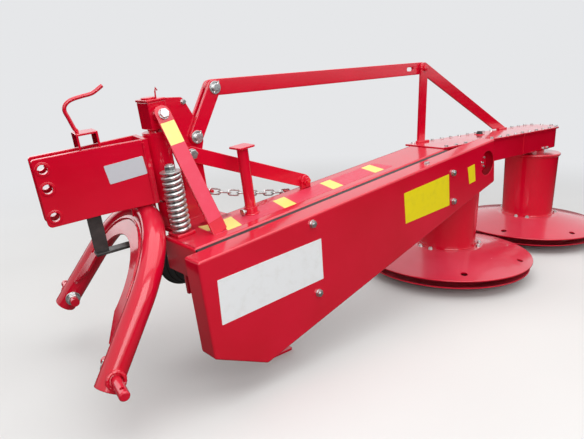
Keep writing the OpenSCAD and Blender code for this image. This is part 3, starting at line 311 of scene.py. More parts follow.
# %% [markdown]
# Each CAD node first gets the finish of what it is. All of them are later covered by a piece with
# rounded edges, because sprayed plate never has the sharp edge of a plain solid. Each finish also
# has the name of the slot that it fills in the shared library.

# %% Finishes of the CAD nodes
FINISHES = {
    "input_cone": PLASTIC, "shaft_strap": BLACK, "input_shaft": STEEL, "belt_pulley": STEEL,
    "swing_pin": RED, "beam_gears": STEEL, "spindles": STEEL, "knives_1": OLD_STEEL,
    "knives_2": OLD_STEEL, "tension_spring": ZINC, "tension_bolt": ZINC, "leg_lock": ZINC,
    "lock_chain": ZINC, "rocker_pins": ZINC, "lower_pin_left": RED, "lower_pin_right": RED,
    "disc_1": RED_LOW, "disc_2": RED_LOW, "slide_disc_1": RED_DULL, "slide_disc_2": RED_DULL,
}
for name, solid in frame["nodes"].items():
    solid.data.materials.clear()
    solid.data.materials.append(FINISHES.get(name, RED))
SLOT_OF = {finish.name: "red_paint" for finish in (RED, RED_LOW, RED_DULL)}
SLOT_OF |= {finish.name: "label_film" for finish in (WHITE, YELLOW, PLATE, TAPE, TAPE_RED, TAPE_YELLOW)}
SLOT_OF |= {ZINC.name: "zinc", STEEL.name: "steel", OLD_STEEL.name: "steel"}
SLOT_OF |= {PLASTIC.name: "black_plastic", BLACK.name: "black_paint"}
print("nodes finished:", len(frame["nodes"]), "finishes:", len(SLOT_OF))

# %% [markdown]
# Every made piece goes through one function, which lays its points into the frame, gives it a
# finish and a body to ride on, and hides the CAD nodes it stands for. Smooth shading would bend the
# light on a flat plate towards its rounded edge, so each corner's direction is blended by area: the
# large flat face wins over the narrow faces of the edge, as on a real plate.

# %% Making a piece
MADE = []
SHARP = 32


def shade(mesh, sharp=SHARP):
    """Shades a mesh smooth up to an angle in degrees, and keeps its flat faces flat."""
    for face in mesh.polygons:
        face.use_smooth = True
    mesh.set_sharp_from_angle(angle=radians(sharp))
    limit = cos(radians(sharp))
    around = [[] for _ in mesh.vertices]
    for face in mesh.polygons:
        for i in face.vertices:
            around[i].append((face.normal, face.normal * face.area))
    corners = []
    for face in mesh.polygons:
        for i in face.vertices:
            near = (big for n, big in around[i] if n.dot(face.normal) > limit)
            corners.append(sum(near, Vector()).normalized() or face.normal)
    mesh.normals_split_custom_set(corners)


def piece(name, verts, faces, place, finish, body, stands_for=(), sharp=SHARP):
    """Makes a mesh piece from points in millimetres of one place."""
    mesh = bpy.data.meshes.new(name)
    mesh.from_pydata([place @ Vector(v) for v in verts], [], faces)
    mesh.validate()
    mesh.materials.append(finish)
    made = bpy.data.objects.new(name, mesh)
    scene.collection.objects.link(made)
    shade(mesh, sharp)
    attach(made, body)
    SLOT_OF[finish.name]
    if stands_for:
        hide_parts(*stands_for)
    MADE.append(made)
    return made


class Parts:
    """Collects the points and faces of several shapes for one piece."""

    def __init__(self):
        self.verts, self.faces = [], []

    def __iter__(self):
        return iter((self.verts, self.faces))

    def take(self, verts, faces, at=None):
        start = len(self.verts)
        self.verts += [tuple(at @ Vector(v)) if at else tuple(v) for v in verts]
        self.faces += [[start + i for i in f] for f in faces]
        return self


# %% [markdown]
# Plate work is cut flat, and its edges are broken by grinding and filled by the paint. A plate is
# drawn as an outline with holes. Its corners are rounded in the outline, and the edge between its
# face and its side is rolled over by a few rings of points, each a little further in.

# %% Rounded outlines and plates
def rounded(points, radius, steps=5):
    """Rounds the corners of an outline; radius is one number or one for each corner."""
    radii = radius if isinstance(radius, (list, tuple)) else [radius] * len(points)
    out, count = [], len(points)
    for i in range(count):
        here, back, on = (Vector(points[j % count]) for j in (i, i - 1, i + 1))
        to_back, to_on = (back - here).normalized(), (on - here).normalized()
        if radii[i] <= 0:
            out.append(tuple(here))
            continue
        half = to_back.angle(to_on) / 2
        reach = radii[i] / math.tan(half)
        centre = here + (to_back + to_on).normalized() * radii[i] / sin(half)
        start = here + to_back * reach - centre
        end = here + to_on * reach - centre
        turn = start.angle_signed(end)
        for k in range(steps + 1):
            a = -turn * k / steps
            out.append((centre.x + start.x * cos(a) - start.y * sin(a),
                        centre.y + start.x * sin(a) + start.y * cos(a)))
    return out


def circle(x, y, radius, count=32):
    return [(x + radius * cos(2 * pi * i / count), y + radius * sin(2 * pi * i / count))
            for i in range(count)]


def hoop(radius, z, count, x=0, y=0):
    """A level ring of points."""
    return [(px, py, z) for px, py in circle(x, y, radius, count)]


def area(outline):
    return sum(a[0] * b[1] - b[0] * a[1] for a, b in zip(outline, outline[1:] + outline[:1])) / 2


def inset(outline, by):
    """Moves each side of a counter-clockwise outline inwards."""
    out, count = [], len(outline)
    for i in range(count):
        here, back, on = (Vector(outline[j % count]) for j in (i, i - 1, i + 1))
        a, b = (here - back).normalized(), (on - here).normalized()
        na, nb = Vector((-a.y, a.x)), Vector((-b.y, b.x))
        middle = (na + nb).normalized()
        out.append(tuple(here + middle * by / max(middle.dot(na), 0.3)))
    return out


def pressed(outline, stations, holes=(), hole_stations=None):
    """Faces between two flat ends: each station is a depth and an inset of the outline."""
    verts, faces, ends = [], [], ([], [])
    for k, loop in enumerate([outline] + list(holes)):
        loop = loop if (area(loop) > 0) == (k == 0) else loop[::-1]
        steps = stations if k == 0 or hole_stations is None else hole_stations
        rings = []
        for depth, into in steps:
            rings.append(range(len(verts), len(verts) + len(loop)))
            verts += [(p[0], p[1], -depth) for p in inset(loop, into)]
        n = len(loop)
        for one, two in zip(rings, rings[1:]):
            faces += [[one[i], two[i], two[(i + 1) % n], one[(i + 1) % n]] for i in range(n)]
        ends[0].append(list(rings[0]))
        ends[1].append(list(rings[-1]))
    for side, loops in enumerate(ends):
        flat = [[Vector((verts[i][0], verts[i][1], 0)) for i in loop] for loop in loops]
        names = [i for loop in loops for i in loop]
        for tri in tessellate_polygon(flat):
            a, b, c = (names[i] for i in tri)
            va, vb, vc = (Vector(verts[i]) for i in (a, b, c))
            up = (vb - va).cross(vc - va).z > 0
            faces.append([a, b, c] if up == (side == 0) else [a, c, b])
    return verts, faces


def rolled(thick, edge, steps=3):
    """Stations of a plate whose two edges are rounded over."""
    arc = [(edge * (1 - cos(a)), edge * (1 - sin(a)))
           for a in (pi / 2 * k / steps for k in range(steps + 1))]
    return arc + [(thick - d, i) for d, i in reversed(arc)]


def plate(outline, thick, edge=1.2, holes=()):
    """A flat plate from z = 0 down to z = -thick."""
    return pressed(outline, rolled(thick, edge), holes)


def bar(length, width, thick, holes=(), edge=1.2):
    """A flat bar with round ends between two eyes along x, centred on z = 0."""
    outline = [(length + width / 2 * cos(a), width / 2 * sin(a))
               for a in (radians(-90 + 10 * k) for k in range(19))]
    outline += [(width / 2 * cos(a), width / 2 * sin(a))
                for a in (radians(90 + 10 * k) for k in range(19))]
    verts, faces = plate(outline, thick, edge, holes)
    return [(x, y, z + thick / 2) for x, y, z in verts], faces


def box(low, high, edge=1.2):
    """A block with rounded edges all round."""
    outline = rounded([(low[0], low[1]), (high[0], low[1]), (high[0], high[1]), (low[0], high[1])],
                      edge, 3)
    verts, faces = plate(outline, high[2] - low[2], edge)
    return [(x, y, z + high[2]) for x, y, z in verts], faces


print("a rounded plate has", len(plate(rounded([(0, 0), (9, 0), (9, 9), (0, 9)], 2), 4)[0]), "points")


# %% [markdown]
# Round pieces are turned: a profile of radius and height goes round the axis, with its corners
# rounded first. Bars, wires and weld seams follow a path, with a ring of points at each step.

# %% Turned pieces and swept pieces
def turned(profile, edge=1.0, count=64, closed=True):
    """Turns a profile of (radius, height) about z."""
    line = rounded(profile, [edge if r else 0 for r, z in profile], 3) if closed else profile
    line = [(max(r, 0.0), z) for r, z in line]
    verts, faces, rows = [], [], []
    for r, z in line:
        if r < 1e-6:
            rows.append([len(verts)] * count)
            verts.append((0, 0, z))
        else:
            rows.append(list(range(len(verts), len(verts) + count)))
            verts += [(r * cos(2 * pi * i / count), r * sin(2 * pi * i / count), z)
                      for i in range(count)]
    pairs = list(zip(rows, rows[1:] + rows[:1])) if closed else list(zip(rows, rows[1:]))
    for one, two in pairs:
        for i in range(count):
            j = (i + 1) % count
            quad = list(dict.fromkeys((one[i], two[i], two[j], one[j])))
            if len(quad) > 2:
                faces.append(quad)
    return verts, [f[::-1] for f in faces] if area(line) > 0 else faces


def swept(path, radius, sides=10, closed=False, ripple=0.0, seed=1.0, ends=0.0):
    """A round bar along a path; ripple swells it like the scales of a weld, ends rounds its ends."""
    path = [Vector(p) for p in path]
    slim = [0.0] * len(path)
    if ends:
        into, back = (path[1] - path[0]).normalized(), (path[-2] - path[-1]).normalized()
        path = [path[0], path[0] + into * ends * 0.3, path[0] + into * ends] + path[1:-1] + \
            [path[-1] + back * ends, path[-1] + back * ends * 0.3, path[-1]]
        slim = [ends, ends * 0.3] + [0.0] * (len(path) - 4) + [ends * 0.3, ends]
    count = len(path)
    verts, faces, rows = [], [], []
    side = None
    for i, here in enumerate(path):
        back = path[(i - 1) % count] if closed or i else here
        on = path[(i + 1) % count] if closed or i < count - 1 else here
        ahead = (on - back).normalized()
        if side is None:
            side = ahead.orthogonal().normalized()
        side = (side - ahead * side.dot(ahead)).normalized()
        up = ahead.cross(side)
        r = radius * (1 + ripple * sin(2.4 * i + seed) + ripple * 0.6 * sin(0.7 * i + 2 * seed))
        r -= slim[i]
        rows.append(list(range(len(verts), len(verts) + sides)))
        verts += [tuple(here + side * r * cos(2 * pi * k / sides) + up * r * sin(2 * pi * k / sides))
                  for k in range(sides)]
    pairs = list(zip(rows, rows[1:] + (rows[:1] if closed else [])))
    if closed:
        first = Vector(verts[rows[0][0]])
        late = min(range(sides), key=lambda s: (first - Vector(verts[rows[-1][s]])).length)
        pairs[-1] = (rows[-1][late:] + rows[-1][:late], rows[0])
    for one, two in pairs:
        faces += [[one[k], one[(k + 1) % sides], two[(k + 1) % sides], two[k]] for k in range(sides)]
    if not closed:
        for row, order in ((rows[0], -1), (rows[-1], 1)):
            faces.append(row[::order])
    return verts, faces


def stepped(start, end, step=3.0):
    """Points every few millimetres along a straight line."""
    a, b = Vector(start), Vector(end)
    count = max(int((b - a).length / step), 2)
    return [a.lerp(b, i / count) for i in range(count + 1)]


def bolt_head(size, washer=True, stud=0.0):
    """A hexagon head on its washer, standing on z = 0 and pointing up; size is the thread."""
    flats, tall = size * 0.85, size * 0.65
    parts = Parts()
    low = max(size * 0.18, 1.5) if washer else 0.0
    if washer:
        parts.take(*turned([(0, 0), (size * 1.05, 0), (size * 1.05, low), (0, low)], 0.3, 32))
    outline = rounded(circle(0, 0, flats / cos(pi / 6), 6), size * 0.08, 2)
    verts, faces = pressed(outline, [(0, size * 0.13), (size * 0.05, size * 0.03),
                                     (size * 0.12, 0), (tall, 0)])
    parts.take([(x, y, z + tall + low) for x, y, z in verts], faces)
    if stud:
        top = low + tall + stud
        parts.take(*turned([(0, low), (size * 0.5, low), (size * 0.5, top), (0, top)], size * 0.08, 20))
    return parts


def facing(spot, towards):
    """A matrix that sets a shape's z along a direction at a spot, in millimetres."""
    turn = Vector(towards).to_track_quat("Z", "Y").to_matrix().to_4x4()
    return shift(*spot) @ turn


def weld(lines, radius=3.0):
    """Weld seams along several lines of points."""
    parts = Parts()
    for i, line in enumerate(lines):
        path = line if len(line) > 2 else stepped(*line)
        parts.take(*swept(path, radius, 8, ripple=0.13, seed=1 + i))
    return parts


print("a bolt head has", len(bolt_head(10).faces), "faces")


# %% [markdown]
# Three small helpers come next. One gives the place of a plate that stands upright along the arm.
# One bends a plate along straight lines after cutting new edges there, as a press brake does. The
# last rounds the edges of a CAD solid, for pieces whose shape is already all in the solid.

# %% Standing, bending and softening
def upright(y, place=ARM):
    """The place of a plate drawn along and up, whose thickness runs from y to the left."""
    return place @ shift(0, y, 0) @ SIDE


def bent(verts, faces, cuts, move):
    """Cuts a shape at several x values and moves each point by a rule."""
    mesh = bmesh.new()
    points = [mesh.verts.new(v) for v in verts]
    for face in faces:
        mesh.faces.new([points[i] for i in face])
    for x in cuts:
        geometry = mesh.verts[:] + mesh.edges[:] + mesh.faces[:]
        bmesh.ops.bisect_plane(mesh, geom=geometry, plane_co=(x, 0, 0), plane_no=(1, 0, 0))
    mesh.verts.index_update()
    out = [move(*v.co) for v in mesh.verts], [[v.index for v in f.verts] for f in mesh.faces]
    mesh.free()
    return out


def softened(node, edge_mm, body):
    """A copy of a CAD solid with its sharp edges rounded over, which then stands for it."""
    solid = frame["nodes"][node]
    mesh = bmesh.new()
    mesh.from_mesh(solid.data)
    bmesh.ops.remove_doubles(mesh, verts=mesh.verts, dist=2e-5)
    bmesh.ops.dissolve_limit(mesh, angle_limit=radians(1.0), verts=mesh.verts, edges=mesh.edges)
    crisp = [e for e in mesh.edges if len(e.link_faces) == 2 and e.calc_face_angle() > radians(40)]
    bmesh.ops.bevel(mesh, geom=crisp, offset=edge_mm / 1000, segments=2, profile=0.5,
                    affect="EDGES", clamp_overlap=True)
    verts = [tuple(v.co) for v in mesh.verts]
    mesh.verts.index_update()
    faces = [[v.index for v in f.verts] for f in mesh.faces]
    mesh.free()
    return piece(node + "_soft", verts, faces, Matrix(), solid.data.materials[0], body, [node], 40)


# %% [markdown]
# The belt guard is pressed from 3 mm sheet: a flat side with its rim folded back to the arm. The
# fold leaves a round outer edge of about two sheet thicknesses, which is what catches the light.
# A solid box with a bevel would look the same from outside, but its open back shows here.

# %% Belt guard
GUARD_BACK, GUARD_DEEP, SHEET, HUB_HOLE = 150, 66, 3, 50
GUARD_OUTLINE = [(-60, -96), (24, -108), (1234, -303), (1405, -200), (1405, 88), (-60, 88)]
GUARD_CORNERS = [10, 12, 16, 12, 8, 8]


def arc(depth, into, radius, start, end, steps=4):
    """Stations on a quarter of a fold, at angles in degrees."""
    angles = (radians(start + (end - start) * k / steps) for k in range(steps + 1))
    return [(depth + radius * cos(a), into + radius * sin(a)) for a in angles]


fold, face_in = 2 * SHEET, GUARD_DEEP - SHEET
shell = arc(GUARD_DEEP - fold, fold, SHEET, 0, -90)
shell += arc(SHEET / 2, SHEET / 2, SHEET / 2, 90, 270)
shell += arc(GUARD_DEEP - fold, fold, fold, -90, 0)
hole_edge = [(face_in, 0), (face_in + 0.4, 0), (GUARD_DEEP - 1, 0), (GUARD_DEEP - 0.3, 0.3),
             (GUARD_DEEP, 1)]
hub_hole = circle(0, 0, HUB_HOLE, 64)
guard = pressed(rounded(GUARD_OUTLINE, GUARD_CORNERS), shell, [hub_hole], hole_edge)
guard = piece("belt_guard_shell", *guard, upright(GUARD_BACK), RED, "arm", ["guard_box"])
print("guard faces:", len(guard.data.polygons))

# %% [markdown]
# The arm is a channel folded from 6 mm plate and open underneath. Its corners are the bends of the
# press, so they are rounder than a cut edge. The sleeve of the parking leg passes through it, and
# a peg on its far side holds the end of the leg's chain.

# %% Arm channel
ARM_TOP, ARM_PLATE, ARM_BEND, ARM_DEEP = 90, 6, 9, 98
ARM_REAR, ARM_FRONT, ARM_FAR, ARM_NEAR = 172, 1360, -42, 131
LEG_U, LEG_Y, LEG_PASS = 1088, 34, 21.3
CHAIN_PEG_U, CHAIN_PEG_V, PEG_RADIUS = 855, 81, 5
across = [(ARM_REAR, ARM_FAR), (ARM_FRONT, ARM_FAR), (ARM_FRONT, ARM_NEAR), (ARM_REAR, ARM_NEAR)]
stations = arc(ARM_BEND, ARM_BEND, ARM_BEND, 180, 270)
stations += arc(ARM_DEEP, ARM_PLATE / 2, ARM_PLATE / 2, -90, 90)[1:-1]
stations += arc(ARM_BEND, ARM_BEND, ARM_BEND - ARM_PLATE, 270, 180)
leg_pass = circle(LEG_U, LEG_Y, LEG_PASS, 48)
channel = Parts().take(*pressed(rounded(across, 4), stations, [leg_pass], [(0, 0), (ARM_PLATE, 0)]))
peg_down = CHAIN_PEG_V - ARM_TOP
peg_line = [(CHAIN_PEG_U, ARM_FAR - 38, peg_down), (CHAIN_PEG_U, ARM_FAR + 1, peg_down)]
channel.take(*swept(peg_line, PEG_RADIUS, 14, ends=1))
channel = piece("arm_channel", *channel, ARM @ shift(0, 0, ARM_TOP), RED, "arm", ["arm_frame"])
print("channel faces:", len(channel.data.polygons))

# %% [markdown]
# The two mast plates are 10 mm plate, cut with rounded corners, drilled for the top link pin and
# bent once, so that they stand close at the tractor and spread towards the pivot. Short bushes are
# welded into the holes, because a bare plate edge would wear oval. The bend is worked into a plate
# that was drawn flat, so its outline and its holes stay as simple as on a cutting drawing.

# %% Mast plates and bushes
MAST_PLATE, MAST_REAR, MAST_FRONT, MAST_LOW, MAST_TOP = 10, 56, 349, 181, 371
BEND_AT, BEND_SLOPE = 205, 20 / 149
LINK_HOLES = [(326, 342), (326, 288), (326, 209)]
LINK_RADIUS, BUSH_RADIUS = 12.8, 17


def bend_of(x):
    """How far a mast plate has spread at x, smooth round the bend line."""
    past = BEND_AT + 8 - x
    return BEND_SLOPE * (0 if past < 0 else past * past / 32 if past < 16 else past - 8)


corners = rounded([(MAST_REAR, MAST_LOW), (MAST_FRONT, MAST_LOW), (MAST_FRONT, MAST_TOP),
                   (MAST_REAR, MAST_TOP)], [3, 13, 9, 3], 6)
cut = plate(corners, MAST_PLATE, 1.6, [circle(x, v, LINK_RADIUS + 0.2, 32) for x, v in LINK_HOLES])
bend_lines = [197 + 2 * k for k in range(9)] + [100, 150]
bush_ring = turned([(LINK_RADIUS, -13), (BUSH_RADIUS, -13), (BUSH_RADIUS, 3), (LINK_RADIUS, 3)], 0.8, 40)
for name, inner, way in (("left", 26, -1), ("right", -36, 1)):
    mast = Parts().take(*bent(*cut, bend_lines, lambda x, y, z: (x, y, z + way * bend_of(x))))
    for x, v in LINK_HOLES:
        mast.take(*bush_ring, at=shift(x, v, 0))
        seam = hoop(BUSH_RADIUS + 1, 0.4 if way > 0 else -10.4, 40, x, v)
        mast.take(*swept(seam, 2, 6, True, 0.08))
    piece("mast_plate_" + name, *mast, upright(inner, HITCH), RED, "hitch", ["mast_" + name])
core = softened("mast_core", 1.5, "hitch")
softened("hook_bracket", 1.5, "hitch")
print("mast core faces:", len(core.data.polygons))

# %% [markdown]
# The arch is one round tube, bent and welded up, with a web plate behind it that leaves an opening
# for the drive shaft. A tube is a ring of points carried along its centre line, which is exact and
# has no seams; its weld seams are laid over it afterwards.

# %% Arch tube and web
BOW, BOW_END, TUBE_RADIUS = 258, 77, 34
LEG_LENGTH, LEG_SPLAY = 232, radians(13)
WEB_AHEAD, WEB_PLATE, WEB_FOOT, WEB_TIP = 24, 8, -329.7, 238


def arch_line(start, end, out=0.0, step=3.0):
    """Points on the bent part of the arch between two angles from its top."""
    count = max(int(abs(end - start) / step), 2)
    angles = (radians(start + (end - start) * k / count) for k in range(count + 1))
    return [(0, (BOW + out) * sin(a), -BOW + (BOW + out) * cos(a)) for a in angles]


bow = arch_line(-BOW_END, BOW_END)
leg_ends = [(0, s * (251.4 + LEG_LENGTH * sin(LEG_SPLAY)), -200 - LEG_LENGTH * cos(LEG_SPLAY))
            for s in (-1, 1)]
tube = swept([leg_ends[0]] + bow + [leg_ends[1]], TUBE_RADIUS, 40, ends=3)
arch = piece("arch_tube_round", *tube, ARCH, RED, "hitch", ["arch_tube"])
outer_edge = [(-258.8, WEB_FOOT)] + [(y, z) for x, y, z in arch_line(-BOW_END, BOW_END, -22)]
outer_edge += [(258.8, WEB_FOOT)]
inner_edge = [(176 * sin(a), -262 + 176 * cos(a)) for a in (radians(90 - 4.5 * k) for k in range(41))]
inner_edge = [(WEB_TIP, WEB_FOOT)] + inner_edge + [(-WEB_TIP, WEB_FOOT)]
web = plate((outer_edge + inner_edge)[::-1], WEB_PLATE, 1.2)
web = piece("arch_web_plate", *web, ARCH @ shift(WEB_AHEAD, 0, 0) @ FRONT, RED, "hitch", ["arch_web"])
print("arch faces:", len(arch.data.polygons), "web faces:", len(web.data.polygons))

# %% [markdown]
# The lower pins are turned and painted with the rest. Each has a collar that the ball of the
# tractor's link runs up to, a chamfered end so that the ball slides on, and a plated nut on the
# inner side of its leg. The hole of the linch pin is cut with a Boolean, as a drill would.

# %% Lower pins
PIN_AHEAD, PIN_HIGH, PIN_RADIUS, PIN_END = 314.09, -159.46, 14, 411.5
LINCH_AT, LINCH_RADIUS, NUT_RADIUS, NUT_HIGH = 391.5, 5.5, 20, 17


def drill(made, place, holes):
    """Cuts round holes (spot, direction, radius, length) through a piece."""
    rods = Parts()
    for spot, towards, radius, length in holes:
        rod = turned([(0, -length / 2), (radius, -length / 2), (radius, length / 2), (0, length / 2)],
                     0.01, 28)
        rods.take(*rod, at=facing(spot, towards))
    mesh = bpy.data.meshes.new("cutter")
    mesh.from_pydata([place @ Vector(v) for v in rods.verts], [], rods.faces)
    cutter = bpy.data.objects.new("cutter", mesh)
    scene.collection.objects.link(cutter)
    cut = made.modifiers.new("holes", "BOOLEAN")
    cut.object, cut.operation, cut.solver = cutter, "DIFFERENCE", "EXACT"
    bpy.context.view_layer.update()
    done = bpy.data.meshes.new_from_object(made.evaluated_get(bpy.context.evaluated_depsgraph_get()))
    made.modifiers.remove(cut)
    made.data = done
    bpy.data.objects.remove(cutter)
    shade(done)


pin_line = [(0, 214.2), (PIN_RADIUS, 214.2), (PIN_RADIUS, PIN_END - 4), (10.5, PIN_END), (0, PIN_END)]
collar = [(13, 324), (21, 324), (21, 341.5), (13, 341.5)]
seam = [(x, y, 329 + 4.6 * y / 22) for x, y in circle(0, 0, 22, 48)]
for name, turn in (("left", TO_LEFT), ("right", TO_RIGHT)):
    place = HITCH @ shift(PIN_AHEAD, 0, PIN_HIGH) @ turn
    pin = Parts().take(*turned(pin_line, 1, 48)).take(*turned(collar, 1.5, 48))
    pin.take(*swept(seam, 5, 10, True, 0.1))
    pin = piece("lower_pin_turned_" + name, *pin, place, RED, "hitch", ["lower_pin_" + name])
    drill(pin, place, [((0, 0, LINCH_AT), (0, 1, 0), LINCH_RADIUS, 60)])
    flats = rounded(circle(0, 0, NUT_RADIUS, 6), 1.5, 2)
    nut = Parts().take(*pressed(flats, rolled(NUT_HIGH, 1.5)), at=shift(0, 0, 254))
    nut.take(*turned([(14, 254.1), (24, 254.1), (24, 258), (14, 258)], 0.6, 36))
    piece("lower_pin_nut_" + name, *nut, place, ZINC, "hitch")
print("pieces so far:", len(MADE))

# %% [markdown]
# The drive shaft rests on a flat black strap when the mower is off the tractor. Over the mast a
# bracket of bent plate holds a rod hook that was bent from one round bar. A bar bends in smooth
# curves, so the hook's few points are joined by cubic curves before the bar is swept along them.

# %% Strap and rod hook
STRAP_REAR, STRAP_FRONT, STRAP_LOW, STRAP_TOP, STRAP_THICK = 112, 244, 58, 262, 8
HOOK_AHEAD, HOOK_BAR, HOOK_STEPS = 214, 5.5, 5
strap = Parts().take(*box((STRAP_FRONT - 40, -4, STRAP_LOW + STRAP_THICK), (STRAP_FRONT, 4, STRAP_TOP), 1))
strap.take(*box((STRAP_REAR, -20, STRAP_LOW), (STRAP_FRONT, 20, STRAP_LOW + STRAP_THICK), 1.5))
piece("shaft_rest_strap", *strap, HITCH, BLACK, "hitch", ["shaft_strap"])
HOOK_KNOTS = [(0, 44), (0, 50), (4, 56), (12, 86), (17, 104), (15, 117), (5, 127), (-10, 133),
              (-36, 137), (-64, 141), (-94, 157)]


def eased(knots, steps=HOOK_STEPS):
    """A smooth line through a few points, with a cubic curve from each one to the next."""
    pts = [Vector(k) for k in knots]
    pts = [pts[0] * 2 - pts[1]] + pts + [pts[-1] * 2 - pts[-2]]
    out = []
    for a, b, c, d in zip(pts, pts[1:], pts[2:], pts[3:]):
        for k in range(steps):
            t = k / steps
            out.append(0.5 * (2 * b + (c - a) * t + (2 * a - 5 * b + 4 * c - d) * t * t
                              + (3 * b - a - 3 * c + d) * t ** 3))
    return out + [pts[-2]]


hook_line = eased([(HOOK_AHEAD + f, 0, MAST_TOP + v) for f, v in HOOK_KNOTS])
piece("rod_hook_bent", *swept(hook_line, HOOK_BAR, 20, ends=1.5), HITCH, RED, "hitch", ["rod_hook"])
print("hook reaches", round(max(p.z for p in hook_line)), "mm over the arm line")

# %% [markdown]
# The headstock on the end of the arm carries the swing pin: two thick eyes, a spine of 12 mm plate
# that fans out to the rocker, and a base plate. The eyes are turned, the plates are flame cut. The
# spine is one outline with a radius for each corner, because a torch turns wide in inner corners.

# %% Headstock and swing pin
SPINE_FRONT, SPINE_PLATE, SPINE_Y = 1259, 12, -109
ROCKER_U, ROCKER_V, ROCKER_PIN = 1163, 338, 12
UPPER_EYE, EYE_LOW, EYE_TOP = (1245, 1303), 386, 472
KING_RADIUS, KING_LOW, KING_CAP = 20, 76, 23
spine = [(1150, ARM_TOP), (SPINE_FRONT, ARM_TOP), (SPINE_FRONT, 164), (1226, 181), (1226, 373),
         (SPINE_FRONT, 390), (SPINE_FRONT, EYE_TOP), (1183, 462), (1135, 358), (1135, 318), (1150, 278)]
spine = rounded(spine, [4, 4, 4, 12, 12, 4, 4, 16, 14, 12, 10])
rocker_hole = circle(ROCKER_U, ROCKER_V, ROCKER_PIN + 0.2, 32)
head = Parts().take(*plate(spine, SPINE_PLATE, 1.5, [rocker_hole]), at=shift(0, SPINE_Y, 0) @ SIDE)
lower_eye = turned([(19, ARM_TOP), (34, ARM_TOP), (34, 168), (19, 168)], 2.5, 56)
head.take(*lower_eye, at=shift(KING_AHEAD, KING_ASIDE, 0))
eye_rear, eye_front = UPPER_EYE
head.take(*box((eye_rear, -154, EYE_LOW), (eye_front, -86, EYE_TOP - 7), 3))
head.take(*box((eye_rear, -156, EYE_TOP - 7), (eye_front + 2, -84, EYE_TOP), 2))
head.take(*box((1130, -154, KING_LOW), (1313, -8, ARM_TOP), 2))
head.take(*swept([(1161, -99, 169.3), (1161, -50, 169.3)], PEG_RADIUS, 14, ends=1))
head.take(*swept([(1273, -90, 466), (1272, -88, 492), (1269, -87, 503), (1265, -87, 494)], 2.2, 10, ends=1))
head = piece("headstock_welded", *head, ARM, RED, "arm", ["headstock"])
king = turned([(0, KING_LOW), (KING_RADIUS, KING_LOW), (KING_RADIUS, EYE_TOP), (KING_CAP, EYE_TOP),
               (KING_CAP, EYE_TOP + 5), (0, EYE_TOP + 5)], 1.5, 48)
piece("swing_pin_turned", *king, ARM @ shift(KING_AHEAD, KING_ASIDE, 0), RED, "arm", ["swing_pin"])
print("headstock faces:", len(head.data.polygons))

# %% [markdown]
# A flat strut runs from the upper eye down to the far side of the arm, and a flat brace back along
# it. Both are rolled bar with rounded edges, bolted at one end and welded at the other. Each is
# drawn straight in a place that leans as it does, which keeps its edges true to the bar.

# %% Strut and brace
STRUT_LENGTH, STRUT_PLATE, STRUT_SIDE, STRUT_FORE = 396.4, 8, 23.58, 4.92
BRACE_LENGTH, BRACE_WIDE, BRACE_PLATE, BRACE_RISE, BRACE_TURN = 431.66, 46, 10, 24.791, -8.068
BRACE_FOOT, LUG_PLATE, LUG_HALF = (812, -20, 114), 15, 20
STRUT = ARM @ shift(1242, 84, ARM_TOP) @ spin("X", STRUT_SIDE) @ spin("Y", STRUT_FORE)
strut_outline = rounded([(-25, 4), (25, -8), (25, STRUT_LENGTH), (-25, STRUT_LENGTH)], [2, 2, 22, 22], 8)
strut = Parts().take(*plate(strut_outline, STRUT_PLATE, 1.6), at=shift(0, -STRUT_PLATE / 2, 0) @ SIDE)
strut.take(*turned([(0, -86), (20, -86), (20, -72), (0, -72)], 2, 40),
           at=STRUT.inverted() @ ARM @ shift(1276, 0, 427) @ TO_LEFT)
strut = piece("strut_bar", *strut, STRUT, RED, "arm", ["flat_strut"])
BRACE = ARM @ shift(*BRACE_FOOT) @ spin("Z", BRACE_TURN) @ spin("Y", -BRACE_RISE)
foot_u, foot_y, foot_v = BRACE_FOOT
brace = Parts().take(*bar(BRACE_LENGTH, BRACE_WIDE, BRACE_PLATE, edge=1.5), at=SIDE)
low = BRACE.inverted() @ ARM
lug = rounded([(foot_u - LUG_HALF, ARM_TOP), (foot_u + LUG_HALF, ARM_TOP),
               (foot_u + LUG_HALF, foot_v + LUG_HALF), (foot_u - LUG_HALF, foot_v + LUG_HALF)],
              [1, 1, 19.5, 19.5], 8)
brace.take(*plate(lug, LUG_PLATE, 1.5), at=low @ shift(0, foot_y, 0) @ SIDE)
brace.take(*bolt_head(16, False, 4), at=low @ shift(foot_u, foot_y + LUG_PLATE, foot_v) @ TO_LEFT)
brace.take(*swept([(1200, -97, 295), (1200, -73, 295)], 12, 24, ends=1), at=low)
brace = piece("brace_bar", *brace, BRACE, RED, "arm", ["flat_brace"])
print("strut and brace:", len(strut.data.polygons), len(brace.data.polygons))

# %% [markdown]
# The upper linkage keeps the cutter unit level: two rocker bars stand on a pin of the headstock and
# a long flat bar runs from them to the upright frame. Pins carry a large plated washer at each end
# and a split pin through the end of the pin.

